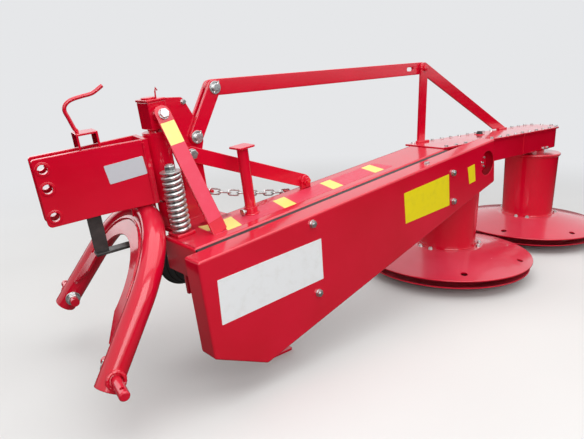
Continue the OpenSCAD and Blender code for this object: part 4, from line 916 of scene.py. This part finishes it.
# %% Rocker, its pins and the top bar
ROCKER_LENGTH, ROCKER_LEAN, ROCKER_WIDE, ROCKER_BAR = 162, -124.181, 46, 10
BAR_U, BAR_V, TOP_LENGTH, TOP_WIDE, TOP_PLATE, TOP_LEAN = 1072, 472, 1085.4, 50, 12, -4.5445
ROCKER = ARM @ shift(ROCKER_U, 0, ROCKER_V) @ spin("Y", ROCKER_LEAN)
rocker = Parts()
rocker_eyes = [circle(x, 0, ROCKER_PIN + 0.1, 32) for x in (0, ROCKER_LENGTH)]
for y in (-90, -116):
    rocker.take(*bar(ROCKER_LENGTH, ROCKER_WIDE, ROCKER_BAR, rocker_eyes, 1.6), at=shift(0, y, 0) @ SIDE)
piece("rocker_bars", *rocker, ROCKER, RED, "rocker", ["rocker"])
pins = Parts()
for u, v in ((ROCKER_U, ROCKER_V), (BAR_U, BAR_V)):
    at = shift(u, 0, v)
    shank = turned([(0, -133), (ROCKER_PIN, -133), (ROCKER_PIN, -73), (0, -73)], 1.5, 32)
    pins.take(*shank, at=at @ TO_LEFT)
    for y in (-85, -125):
        pins.take(*turned([(11, y), (20, y), (20, y + 4), (11, y + 4)], 1.0, 40), at=at @ TO_LEFT)
    for y in (-76.5, -129.5):
        split = [(0, y, -17), (0, y, 14), (2.5, y, 18), (0, y, 21), (-2.5, y, 18), (0, y, 14.5)]
        pins.take(*swept(split, 1.8, 8), at=at @ spin("Y", -35))
piece("rocker_pins_turned", *pins, ARM, ZINC, "rocker", ["rocker_pins"])
TOP_BAR = ARM @ shift(-10, -103, 386) @ spin("Y", TOP_LEAN)
slot = rounded([(62, -8), (106, -8), (106, 8), (62, 8)], 7.9, 6)
top_holes = [circle(0, 0, 13.3, 32), circle(TOP_LENGTH, 0, ROCKER_PIN + 0.1, 32), slot]
top = bar(TOP_LENGTH, TOP_WIDE, TOP_PLATE, top_holes, 2)
top = piece("top_bar_flat", *top, TOP_BAR @ SIDE, RED, "top_bar", ["top_bar"])
print("top bar:", [round(c, 3) for c in top.dimensions])

# %% [markdown]
# The upright frame is bolted to the cutter's beam: an upright bar and a diagonal, welded to one eye
# at the top and to a foot plate each. The pin of the top bar runs through the eye.

# %% Upright frame
EYE_X, EYE_Z, LID_TOP, FOOT_X = 104.1, 919.3, 602, -600
POST_HALF, POST_Y, POST_PLATE = 23, -95, 12
STAY_HALF, STAY_Y, STAY_PLATE, STAY_LEAN, STAY_SHORT, STAY_LONG = 25, 84, 10, -24.26, 703, 815
upright_eye = shift(EYE_X, 0, EYE_Z) @ TO_LEFT
diagonal = shift(EYE_X, 0, EYE_Z) @ spin("Y", STAY_LEAN) @ spin("Z", 180)
post = rounded([(EYE_X - POST_HALF, LID_TOP), (EYE_X + POST_HALF, LID_TOP), (EYE_X + POST_HALF, EYE_Z),
                (EYE_X - POST_HALF, EYE_Z)], 1)
stand = Parts().take(*plate(post, POST_PLATE, 1.5), at=shift(0, POST_Y, 0) @ SIDE)
stay = rounded([(0, -STAY_HALF), (STAY_SHORT, -STAY_HALF), (STAY_LONG, STAY_HALF), (0, STAY_HALF)], 1)
stand.take(*plate(stay, STAY_PLATE, 1.5), at=diagonal @ shift(0, STAY_Y, 0) @ SIDE)
stand.take(*turned([(12, -95), (24, -95), (24, -83), (12, -83)], 1.5, 48), at=upright_eye)
for x in (EYE_X, FOOT_X):
    stand.take(*box((x - 40, -89, LID_TOP), (x + 40, -71, LID_TOP + 8), 1.5))
stand.take(*turned([(0, -121), (12, -121), (12, -75), (0, -75)], 2.5, 32), at=upright_eye)
stand = piece("upright_frame_bars", *stand, GROUND, RED, "cutter", ["upright_frame"])
washer = turned([(11, -115), (20, -115), (20, -111), (11, -111)], 1, 40)
piece("upright_frame_washer", *washer, GROUND @ upright_eye, ZINC, "cutter")
print("upright frame:", [round(c, 3) for c in stand.dimensions])

# %% [markdown]
# The beam is a welded box with a bolted lid, where the bevel gears run in oil. The lid is plate and
# stands out past the walls as a flange, with a bolt about every 75 mm, the way such boxes are kept
# oil-tight. A black plastic breather on the lid lets the warm air out.

# %% Beam and lid
BEAM_LOW, BEAM_TOP, BEAM_HALF, BEAM_FRONT, BEAM_REAR = 492, 594, 83, 196, -867
LID_PLATE, LID_OUT, BOLT_PITCH, BREATHER = LID_TOP - BEAM_TOP, 12, 74, (-310, -41.5)


def beam_outline(out):
    """The plan of the beam, square in front and round at its rear end."""
    half = BEAM_HALF + out
    front = [(BEAM_FRONT + out, -half), (BEAM_FRONT + out, half)]
    turn = (radians(90 + 7.5 * k) for k in range(25))
    return front + [(BEAM_REAR + half * cos(a), half * sin(a)) for a in turn]


walls = [(0, 1), (1, 0), (BEAM_TOP - BEAM_LOW - 3, 0), (BEAM_TOP - BEAM_LOW, 3)]
beam = Parts().take(*pressed(beam_outline(0), walls), at=shift(0, 0, BEAM_TOP))
piece("beam_box", *beam, GROUND, RED, "cutter", ["beam_body"])
lid = Parts().take(*plate(beam_outline(LID_OUT), LID_PLATE, 1.5), at=shift(0, 0, LID_TOP))
boss = turned([(0, 601), (24, 601), (24, 605), (0, 605)], 1, 40)
lid.take(*boss, at=shift(*BREATHER, 0))
piece("beam_lid_plate", *lid, GROUND, RED, "cutter", ["beam_lid"])
plug = turned([(0, 604), (15, 604), (15, 610), (12, 612), (12, 618), (0, 618)], 1, 32)
piece("breather_plug", *plug, GROUND @ shift(*BREATHER, 0), PLASTIC, "cutter")
LID_BOLTS = [(x, y) for x in range(170, BEAM_REAR - 1, -BOLT_PITCH) for y in (-84, 84)]
LID_BOLTS += [(BEAM_REAR + 84 * cos(a), 84 * sin(a)) for a in (radians(90 + 36 * k) for k in range(1, 5))]
studs = Parts()
for x, y in LID_BOLTS:
    under_foot = -94 < y < -60 and (abs(x - 104) < 50 or abs(x - FOOT_X) < 50)
    if not under_foot:
        turn = Matrix.Rotation(0.7 * x + y, 4, "Z")
        studs.take(*bolt_head(8), at=shift(x, y, LID_TOP) @ turn)
lid_bolts = piece("lid_bolts", *studs, GROUND, ZINC, "cutter")
print("lid bolts:", len(LID_BOLTS), "faces:", len(lid_bolts.data.polygons))

# %% [markdown]
# A drum is a rolled and welded tube with a cap ring at the top and a flange of bolts at its foot.
# Below it is the disc, a shallow spun cone of 6 mm steel. Six round openings near its rim give
# room for the knife tool. Both are turned shapes, with enough steps that their rims look round.

# %% Drums and discs
DRUM_LINE = [(62.1, 470), (62.1, 460), (130, 460), (124, 134), (129, 134), (135, 456), (144, 456),
             (144, 470)]
DRUM_ROUND = [0.5, 0.5, 2, 0.5, 1, 2.5, 6, 6]
DISC_LINE = [(40, 134), (40, 128), (160, 128), (380, 78), (380, 84), (160, 134)]
DISC_ROUND = [0.5, 0.5, 30, 1.5, 2.5, 30]
TOOL_HOLES_AT, TOOL_HOLE, DISC_SLOPE = 328, 14, 0.22
FLANGE_AT, FLANGE_Z = 147, 134
BOLT_ANGLES = [c + s for c in (0, 120, 240) for s in (-11, 11)]


def spun(profile, radii, count=128):
    """Turns a profile whose corners have a radius each."""
    return turned([(p[0], p[1]) for p in rounded(profile, radii, 4)], 0, count)


for number, place, body, start in ((1, GROUND, "drum_one", -5), (2, FAR, "drum_two", 16)):
    drum = Parts().take(*spun(DRUM_LINE, DRUM_ROUND))
    for radius, z, size in ((131, 136, 3), (137, 455, 2)):
        drum.take(*swept(hoop(radius, z, 220), size, 8, True, 0.1, number))
    piece(f"drum_{number}_rolled", *drum, place, RED, body, [f"drum_{number}"])
    disc = piece(f"disc_{number}_spun", *spun(DISC_LINE, DISC_ROUND, 160), place, RED_LOW, body,
                 [f"disc_{number}"])
    spots = [(TOOL_HOLES_AT * cos(a), TOOL_HOLES_AT * sin(a), 92)
             for a in (radians(start + 51 + 60 * k) for k in range(6))]
    drill(disc, place, [(spot, (spot[0] * DISC_SLOPE, spot[1] * DISC_SLOPE, TOOL_HOLES_AT), TOOL_HOLE, 40)
                        for spot in spots])
    bolts = Parts()
    for degrees in BOLT_ANGLES:
        a = radians(degrees + start)
        bolts.take(*bolt_head(10, stud=3), at=shift(FLANGE_AT * cos(a), FLANGE_AT * sin(a), FLANGE_Z)
                   @ Matrix.Rotation(a * 3, 4, "Z"))
    piece(f"drum_{number}_bolts", *bolts, place, ZINC, body)
print("drum and disc pieces:", len(MADE))

# %% [markdown]
# Under the front of the arm hangs the housing of the input shaft, with a plate on each side of the
# channel. The shaft ends in six splines with a groove for the yoke's lock. A black plastic cone
# shields it: a moulding with a rolled lip and ribs that keep it round.

# %% Input housing, shaft and cone
INPUT_U, INPUT_V, SPLINES, SPLINE_ROOT, SPLINE_TIP, SPLINE_END = 1240, -50, 6, 14.4, 17.4, 92
CONE_BACK, CONE_LIP, CONE_DEEP = 52, 92, 108
INPUT = ARM @ shift(INPUT_U, -64, INPUT_V) @ TO_RIGHT
softened("input_housing", 1.5, "arm")
splines = []
for k in range(SPLINES):
    for degrees, radius in ((-17, SPLINE_ROOT), (-14, SPLINE_TIP), (14, SPLINE_TIP), (17, SPLINE_ROOT)):
        a = radians(360 / SPLINES * k + degrees)
        splines.append((radius * cos(a), radius * sin(a)))
groove = [(0, 1.8), (1.8, 0), (18, 0), (18.6, 2), (27, 2), (27.6, 0), (SPLINE_END, 0)]
shaft = Parts().take(*pressed(splines, groove), at=shift(0, 0, SPLINE_END))
shaft.take(*turned([(0, -269), (20, -269), (20, -0.3), (0, -0.3)], 1, 40))
shaft = piece("input_shaft_splined", *shaft, INPUT, STEEL, "input", ["input_shaft"])
cone = Parts().take(*turned([(24, 0), (CONE_BACK, 0), (CONE_LIP, CONE_DEEP), (CONE_LIP - 4, CONE_DEEP),
                             (CONE_BACK - 4, 4), (24, 4)], 1, 72))
for z, thick in ((24, 2.2), (50, 2.2), (76, 2.2), (104, 3.2)):
    radius = CONE_BACK + (CONE_LIP - CONE_BACK) * z / CONE_DEEP
    cone.take(*swept(hoop(radius, z, 72), thick, 10, True))
cone = piece("input_cone_moulded", *cone, INPUT, PLASTIC, "arm", ["input_cone"])
print("splined shaft faces:", len(shaft.data.polygons), "cone faces:", len(cone.data.polygons))

# %% [markdown]
# Behind the guard a thick cheek plate joins the channel to the hub, and three tubes hold the guard
# off the channel. The pulley has three vee grooves. Through the round opening of the guard one sees
# the end of the trunnion: a cap with a ring of small bolts and a grease nipple.

# %% Hub, stand-offs and pulley
PULLEY_RADIUS, PULLEY_BORE, PULLEY_WIDE, GROOVE_ROOT = 128, 20.1, 44, 116
TRUNNION, TRUNNION_ROOT, TRUNNION_END, CAP_END, CAP_BOLTS_AT = 44, 83, 184, 190, 26
for node, edge in (("hub_cheek", 2), ("guard_standoffs", 0.8)):
    softened(node, edge, "arm")
rim = [(PULLEY_BORE, 0), (PULLEY_RADIUS, 0)]
for z in (4, 16, 28):
    rim += [(PULLEY_RADIUS, z + 1), (GROOVE_ROOT, z + 4.5), (GROOVE_ROOT, z + 7.5), (PULLEY_RADIUS, z + 11)]
rim += [(PULLEY_RADIUS, PULLEY_WIDE), (PULLEY_BORE, PULLEY_WIDE)]
pulley = piece("belt_pulley_turned", *turned(rim, 0.3, 96), ARM @ shift(INPUT_U, 161, INPUT_V) @ TO_LEFT,
               STEEL, "input", ["belt_pulley"])
HUB = GROUND @ shift(HUB_AHEAD, 0, HUB_HIGH) @ TO_LEFT
trunnion = Parts().take(*turned([(0, TRUNNION_ROOT), (TRUNNION, TRUNNION_ROOT), (TRUNNION, TRUNNION_END),
                                 (0, TRUNNION_END)], 3, 64))
trunnion.take(*turned([(0, TRUNNION_END - 1), (37, TRUNNION_END - 1), (37, CAP_END), (14, CAP_END),
                       (14, CAP_END - 3.5), (0, CAP_END - 3.5)], 1.5, 48))
piece("hub_trunnion_turned", *trunnion, HUB, RED, "cutter", ["hub_trunnion"])
cap = Parts()
for k in range(4):
    a = radians(45 + 90 * k)
    cap.take(*bolt_head(5), at=shift(CAP_BOLTS_AT * cos(a), CAP_BOLTS_AT * sin(a), CAP_END))
cap.take(*turned([(0, 186), (4.5, 186), (4.5, 191), (3, 193), (3, 196), (4, 199), (0, 199)], 0.6, 20))
piece("hub_trunnion_bolts", *cap, HUB, ZINC, "cutter")
print("pulley faces:", len(pulley.data.polygons))

# %% [markdown]
# The belt is tightened by a long bolt in a coil spring on the front end of the arm. The spring is
# wound from 12 mm wire and its last coils lie flat on the seat and the washer. A helix is a circle
# that climbs, so the wire is swept along points worked out from the turns and the rise.

# %% Spring, seat and bolt
SPRING_TURNS, SPRING_RISE, SPRING_RADIUS, WIRE, STEPS_A_TURN = 10.5, 164, 24, 6, 24
BOLT_RADIUS, BOLT_TALL, NUT_LOW = 10, 210, 206
SPRING = ARM @ shift(1316, -4, ARM_TOP)
piece("spring_seat_plate", *box((-30, -30, 0), (30, 30, 10), 3), SPRING, RED, "arm", ["spring_seat"])
steps = int(SPRING_TURNS * STEPS_A_TURN)
coil = []
for k in range(steps + 1):
    share = k / steps
    a = 2 * pi * SPRING_TURNS * share
    coil.append((SPRING_RADIUS * cos(a), SPRING_RADIUS * sin(a), 10 + WIRE + SPRING_RISE * share))
coil = piece("tension_spring_coiled", *swept(coil, WIRE, 14, ends=1), SPRING, ZINC, "arm",
             ["tension_spring"])
bolt = Parts().take(*turned([(0, 0), (BOLT_RADIUS, 0), (BOLT_RADIUS, BOLT_TALL), (0, BOLT_TALL)], 1.2, 32))
bolt.take(*turned([(BOLT_RADIUS, 186), (30, 186), (30, 190), (BOLT_RADIUS, 190)], 0.8, 48))
flats = rounded(circle(0, 0, 16, 6), 1.2, 2)
bolt.take(*pressed(flats, rolled(16, 1.5)), at=shift(0, 0, NUT_LOW))
piece("tension_bolt_nut", *bolt, SPRING, ZINC, "arm", ["tension_bolt"])
print("spring faces:", len(coil.data.polygons))

# %% [markdown]
# The parking leg is a tube in a welded sleeve, with a cap plate to lift it by and a square foot. A
# zinc screw locks it, and a chain of nine welded links hangs from the headstock to a peg on the
# side of the arm. The links take turns, flat and upright, along a line that sags a little.

# %% Parking leg, lock and chain
LEG_TUBE, LEG_LOW, LEG_TOP, SLEEVE, SLEEVE_LOW, SLEEVE_TOP = 17, -401.4, 299, 21, -24, 114
LEG_CAP, LEG_FOOT, FOOT_PLATE, LEG_FOOT_X = 30, 52, 8, 1097.48
LINKS, LINK_IN, LINK_WIRE, LINK_HALF, CHAIN_SAG = 9, 37.2, 3, 8.5, 24
CHAIN_U, CHAIN_V, CHAIN_Y, CHAIN_BACK, CHAIN_DOWN = 1166, 171, -60, 316, 91


def square(half, radius, steps):
    return rounded([(-half, -half), (half, -half), (half, half), (-half, half)], radius, steps)


LEG = ARM @ shift(LEG_U, LEG_Y, 0)
bore = LEG_TUBE + 0.4
wall = [(bore, SLEEVE_LOW), (SLEEVE, SLEEVE_LOW), (SLEEVE, SLEEVE_TOP), (bore, SLEEVE_TOP)]
piece("leg_sleeve_tube", *turned(wall, 1, 48), LEG, RED, "arm", ["leg_sleeve"])
leg = Parts().take(*turned([(0, LEG_LOW), (LEG_TUBE, LEG_LOW), (LEG_TUBE, LEG_TOP), (0, LEG_TOP)], 0.8, 48))
leg.take(*plate(square(LEG_CAP, 9, 5), 6, 1.5), at=shift(0, 0, LEG_TOP + 5))
foot_at = LEG.inverted() @ GROUND @ shift(LEG_FOOT_X, LEG_Y, 0)
leg.take(*plate(square(LEG_FOOT, 6, 4), FOOT_PLATE, 1.5), at=foot_at @ shift(0, 0, FOOT_PLATE))
for spot, z in ((foot_at, FOOT_PLATE), (Matrix(), LEG_TOP - 1)):
    leg.take(*swept(hoop(LEG_TUBE + 1, z, 44), 2.5, 8, True, 0.12), at=spot)
leg = piece("parking_leg_tube", *leg, LEG, RED, "leg", ["parking_leg"])
lock = Parts().take(*turned([(0, 20), (6, 20), (6, 30), (0, 30)], 0.6, 24))
lock.take(*turned([(0, 29), (11, 29), (11, 35), (0, 35)], 1.5, 32))
piece("leg_lock_screw", *lock, LEG @ shift(0, 0, 101.9) @ TO_FRONT, ZINC, "arm", ["leg_lock"])
end_at = LINK_IN / 2 - LINK_HALF + LINK_WIRE
bends = [2 * pi * (k + 0.5) / 28 for k in range(28)]
link = [(LINK_HALF * cos(a) + (end_at if cos(a) > 0 else -end_at), LINK_HALF * sin(a), 0) for a in bends]
chain = Parts()
for i in range(LINKS):
    t = (i + 0.5) / LINKS
    slope = math.degrees(math.atan((CHAIN_DOWN + CHAIN_SAG * (1 - 2 * t)) / CHAIN_BACK))
    fall = CHAIN_DOWN * t + CHAIN_SAG * t * (1 - t)
    at = shift(CHAIN_U - CHAIN_BACK * t, CHAIN_Y, CHAIN_V - fall) @ spin("Y", 180 - slope)
    chain.take(*swept(link, LINK_WIRE, 12, True), at=at @ spin("X", 90 * ((i + 1) % 2)))
chain = piece("lock_chain_links", *chain, ARM, ZINC, "arm", ["lock_chain"])
print("chain faces:", len(chain.data.polygons), "leg:", [round(c, 3) for c in leg.dimensions])

# %% [markdown]
# Under the cutter's beam stand two fixed necks with a spindle each, on which the slide discs turn
# freely. The slide discs are pressed dishes whose sole rubs on the ground. The knives are flat spring
# steel, folded in under each disc as they hang when the machine is parked.

# %% Necks, spindles, knives and slide discs
NECK_RADIUS, NECK_LOW, SPINDLE_RADIUS, SPINDLE_LOW = 62, 430, 22.5, 8
SLIDE_LINE = [(0, 0), (232, 0), (370, 46), (370, 51), (232, 5), (42, 5), (42, 70), (22.6, 70),
              (22.6, 5.1), (0, 5.1)]
SLIDE_ROUND = [0, 25, 1.5, 2, 25, 2, 1.5, 0.5, 0, 0]
neck = turned([(0, NECK_LOW), (NECK_RADIUS, NECK_LOW), (NECK_RADIUS, BEAM_LOW), (0, BEAM_LOW)], 1, 72)
spindle = turned([(0, SPINDLE_LOW), (SPINDLE_RADIUS, SPINDLE_LOW), (SPINDLE_RADIUS, NECK_LOW + 1),
                  (0, NECK_LOW + 1)], 1.5, 48)
necks, spindles = Parts(), Parts()
for x in (0, -DRUM_SPACING):
    necks.take(*neck, at=shift(x, 0, 0))
    spindles.take(*spindle, at=shift(x, 0, 0))
piece("drum_necks", *necks, GROUND, RED, "cutter")
piece("spindles_turned", *spindles, GROUND, STEEL, "cutter", ["spindles"])
softened("beam_gears", 2, "cutter")
for number, place, above, below in ((1, GROUND, "drum_one", "slide_one"), (2, FAR, "drum_two", "slide_two")):
    softened(f"knives_{number}", 0.8, above)
    dish = piece(f"slide_disc_{number}_pressed", *spun(SLIDE_LINE, SLIDE_ROUND, 160), place, RED_DULL,
                 below, [f"slide_disc_{number}"])
print("slide disc:", [round(c, 3) for c in dish.dimensions])

# %% [markdown]
# The signs are blank films on the enamel: a long white one and two yellow ones on the guard, and an
# aluminium rating plate on the left mast plate, which follows the bend of that plate. Marking tape
# with slanting stripes runs along the top of the arm, and a shorter length down the strut. A film
# is given its real thickness, so that its edge catches a thin line of light.

# %% Signs and marking tape
FILM, FILM_EDGE, RATING_THICK = 0.5, 0.15, 0.8


def label(name, corners, place, finish, holes=()):
    """A film with rounded corners, laid on a part of the arm."""
    return piece(name, *plate(rounded(corners, 2, 3), FILM, FILM_EDGE, holes), place, finish, "arm")


guard_face, strut_face = upright(GUARD_BACK + GUARD_DEEP), STRUT @ shift(0, STRUT_PLATE / 2, 0) @ SIDE
label("sign_white", [(981, -128), (1366, -111), (1358, 20), (974, 5)], guard_face, WHITE)
label("sign_yellow", [(281, -99), (557, -85), (559, 29), (281, 26)], guard_face, YELLOW)
label("sign_yellow_small", [(92, -52), (138, -53), (149, 18), (98, 20)], guard_face, YELLOW)
rating = rounded([(61, 273), (166, 263), (173, 317), (65, 326)], 3, 3)
verts, faces = plate(rating, RATING_THICK, 0.2)
verts = [(x, y, z - bend_of(x)) for x, y, z in verts]
piece("rating_plate", verts, faces, upright(36, HITCH), PLATE, "hitch")
label("arm_tape", [(462, 2), (1262, 2), (1262, 94), (462, 94)], ARM @ shift(0, 0, ARM_TOP + FILM), TAPE,
      [circle(LEG_U, LEG_Y, 22, 40)])
label("arm_tape_end", [(1217, 6), (1256, -14), (1260, 46), (1222, 60)],
      ARM @ shift(0, 0, ARM_TOP + 1.1), TAPE_YELLOW)
label("strut_tape_red", [(-23, 40), (23, 36), (23, 278), (-23, 278)], strut_face, TAPE_RED)
label("strut_tape_yellow", [(-23, 278.5), (23, 278.5), (23, 346), (-23, 346)], strut_face, TAPE_YELLOW)
print("pieces so far:", len(MADE))

# %% [markdown]
# A black strip in the gap between the channel and the guard is painted shade: a dark sheet that
# stands for the shadow deep in that narrow gap. It is set a little low, so that a dark line runs
# along the whole arm. The remaining bolts are plated: four on the face of the guard, one on its upper
# fold, one at the head of the strut, one on the spine and one at the head of the brace. A few more
# hold a cover on the near side of the beam.

# %% Painted shade strip and bolts of the arm
SHADE_STRIP_LOW, SHADE_STRIP_TOP, SHADE_STRIP_GAP = 72, 87, 0.5
shade_strip = box((ARM_REAR + 4, ARM_NEAR + SHADE_STRIP_GAP, SHADE_STRIP_LOW),
            (ARM_FRONT - 1, GUARD_BACK - SHADE_STRIP_GAP, SHADE_STRIP_TOP), 1)
# Painted shade: a black sheet set low in the gap, where the real gap holds only shadow.
piece("gap_shade_strip", *shade_strip, ARM, PLASTIC, "arm")
bolts = Parts()
for u, v in ((1003, 62), (1007, -167), (253, 24), (253, -91)):
    bolts.take(*bolt_head(12, stud=2), at=shift(u, GUARD_BACK + GUARD_DEEP, v) @ TO_LEFT
               @ Matrix.Rotation(u, 4, "Z"))
bolts.take(*bolt_head(10), at=shift(381, 189, 88))
bolts.take(*bolt_head(8), at=shift(1183, -97, 448) @ TO_LEFT)
bolts.take(*bolt_head(16), at=shift(1200, -70, 295) @ TO_LEFT)
bolts.take(*bolt_head(15), at=ARM.inverted() @ STRUT @ shift(0, 4, 370) @ TO_LEFT)
bolts = piece("arm_bolts", *bolts, ARM, ZINC, "arm")
small = Parts()
for x in (-744, -790, -54, 46):
    small.take(*bolt_head(8), at=shift(x, BEAM_HALF, BEAM_LOW + 8) @ TO_LEFT)
small = piece("beam_side_bolts", *small, GROUND, ZINC, "cutter")
print("bolt faces:", len(bolts.data.polygons) + len(small.data.polygons))

# %% [markdown]
# The plates are joined by fillet welds laid by hand, so their seams swell and shrink a little along
# the way. They are drawn where two plates meet and show: at the headstock, the mast, the arch, the
# sleeve of the leg, the lug of the brace and the foot of the strut.

# %% Weld seams
arm_seams = [[(1150, -97, 91), (1259, -97, 91)], [(1150, -109, 91), (1259, -109, 91)],
             [(1245, -97, 390), (1245, -97, 462)], [(787, -15, 91), (825, -15, 91)],
             [(1220, 82, 92), (1264, 82, 92)], [(1259, -97, 92), (1259, -97, 166)]]
sleeve_seam = hoop(SLEEVE + 1.5, ARM_TOP + 2, 40, LEG_U, LEG_Y)
arm_seams.append(sleeve_seam + sleeve_seam[:1])
piece("arm_welds", *weld(arm_seams, 3.2), ARM, RED, "arm")
mast_seams = [[(57, y, 190), (57, y, 362)] for y in (-57.5, 57.5)]
piece("mast_welds", *weld(mast_seams, 3.2), HITCH, RED, "hitch")
under_tube = arch_line(-BOW_END, BOW_END, -TUBE_RADIUS)
web_seams = [[(face, y, z) for x, y, z in under_tube] for face in (WEB_AHEAD, WEB_AHEAD - WEB_PLATE)]
piece("arch_welds", *weld(web_seams, 4), ARCH, RED, "hitch")
beam_seams = [[(50, y, BEAM_LOW), (-50, y, BEAM_LOW)] for y in (83.5, -83.5)]
beam_seams += [[(-520, 83.3, BEAM_LOW + 2), (-520, 83.3, BEAM_TOP - 2)]]
piece("beam_welds", *weld(beam_seams, 2.2), GROUND, RED, "cutter")
print("all pieces:", len(MADE))

# %% [markdown]
# The machine stands on a plain pale floor that fades into the backdrop, as in a product studio. One
# large soft lamp overhead, a broad one from the left and a weak one from the right give the enamel
# long soft highlights without hard shadows. In reflections the floor is dark, so upright faces keep
# their deep red, and the sky is brighter, so that faces which look up have a pale sheen.

# %% Floor and light
BACKDROP = "#E6E7E9"
FADE_START, FADE_END, FLOOR_EDGE = 1.2, 4.0, 60.0
SKY, SKY_IN_GLOSS = 0.55, 1.15


def floor_finish():
    """Matt paint near the machine, which fades into the even light of the backdrop."""
    made, tree, shader, place = finish_of("pale_studio_floor")
    patch = ramp(tree, speckle(tree, place, 900, 2), 0.3, 0.7)
    seen = add(tree, "LightPath").outputs["Is Camera Ray"]
    pale = blend(tree, patch, "#DAD9D7", "#DFDEDC")
    tree.links.new(blend(tree, seen, "#5C5956", pale), shader.inputs["Base Color"])
    shader.inputs["Roughness"].default_value = 0.9
    far = add(tree, "VectorMath", {0: place}, operation="LENGTH").outputs["Value"]
    share = add(tree, "MapRange", {"Value": far, "From Min": FADE_START, "From Max": FADE_END},
                interpolation_type="SMOOTHSTEP").outputs["Result"]
    glow = add(tree, "Emission", {"Color": linear(BACKDROP), "Strength": seen}).outputs[0]
    mix = add(tree, "MixShader", {0: share, 1: shader.outputs[0], 2: glow}).outputs[0]
    tree.links.new(mix, tree.nodes["Material Output"].inputs["Surface"])
    return made


corners = [(x * FLOOR_EDGE, y * FLOOR_EDGE, 0) for x, y in ((-1, -1), (1, -1), (1, 1), (-1, 1))]
floor_mesh = bpy.data.meshes.new("studio_floor")
floor_mesh.from_pydata(corners, [], [(0, 1, 2, 3)])
floor_mesh.materials.append(floor_finish())
floor = bpy.data.objects.new("studio_floor", floor_mesh)
scene.collection.objects.link(floor)
floor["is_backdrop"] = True


def lamp(name, spot, aim, width, height, watts):
    """A rectangular soft lamp that points at a spot."""
    data = bpy.data.lights.new(name, "AREA")
    data.shape, data.size, data.size_y, data.energy = "RECTANGLE", width, height, watts
    made = bpy.data.objects.new(name, data)
    made.location = spot
    made.rotation_euler = (Vector(aim) - Vector(spot)).to_track_quat("-Z", "Y").to_euler()
    scene.collection.objects.link(made)


lamp("overhead", (0.3, 0.6, 3.4), (0, 0, 0.3), 5.0, 4.0, 105)
lamp("left_side", (2.2, 3.8, 2.1), (0, 0, 0.5), 3.6, 2.6, 105)
lamp("right_side", (1.4, -3.6, 1.8), (0, 0, 0.4), 3.0, 2.4, 26)
world = bpy.data.worlds.new("soft_sky")
scene.world = world
world.use_nodes = True
sky = world.node_tree
rays = add(sky, "LightPath")
ambient = add(sky, "MapRange", {"Value": rays.outputs["Is Glossy Ray"], "To Min": SKY,
                                "To Max": SKY_IN_GLOSS}).outputs["Result"]
strength = add(sky, "Math", {0: rays.outputs["Is Camera Ray"], 1: ambient},
               operation="MAXIMUM").outputs[0]
sky.links.new(strength, sky.nodes["Background"].inputs["Strength"])
sky.nodes["Background"].inputs["Color"].default_value = linear(BACKDROP)
scene.view_settings.view_transform = "Standard"
print("lamps:", [o.name for o in scene.objects if o.type == "LIGHT"])

# %% [markdown]
# The camera stands where the photographer stood: a little over a metre from the hitch, at eye
# height of a crouching person, looking back along the arm and 15 degrees down.

# %% Camera
YAW, PITCH, ROLL = radians(-131.535), radians(14.941), radians(-1.2456)
STAND = (1.88593, 1.459251, 0.90979)
FOCAL_PIXELS, PICTURE_WIDTH, SENSOR = 547.853, 584, 36.0
ahead = Vector((cos(YAW) * cos(PITCH), sin(YAW) * cos(PITCH), -sin(PITCH)))
right = Vector((sin(YAW), -cos(YAW), 0))
above = right.cross(ahead)
side_axis = right * cos(ROLL) + above * sin(ROLL)
up_axis = above * cos(ROLL) - right * sin(ROLL)
view = bpy.data.cameras.new("photo_view")
view.sensor_width, view.lens = SENSOR, FOCAL_PIXELS / PICTURE_WIDTH * SENSOR
camera = bpy.data.objects.new("photo_view", view)
turn = Matrix((side_axis, up_axis, -ahead)).transposed().to_4x4()
camera.matrix_world = shift(*STAND) @ turn
scene.collection.objects.link(camera)
scene.camera = camera
print("lens:", round(view.lens, 2), "mm")

# %% Sizes and finish
bpy.context.view_layer.update()
sizes = {"cad": [list(map(float, c)) for c in cad_box],
         "visual": [list(map(float, c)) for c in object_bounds()]}
print("CAD box", sizes["cad"], "visual box", sizes["visual"])
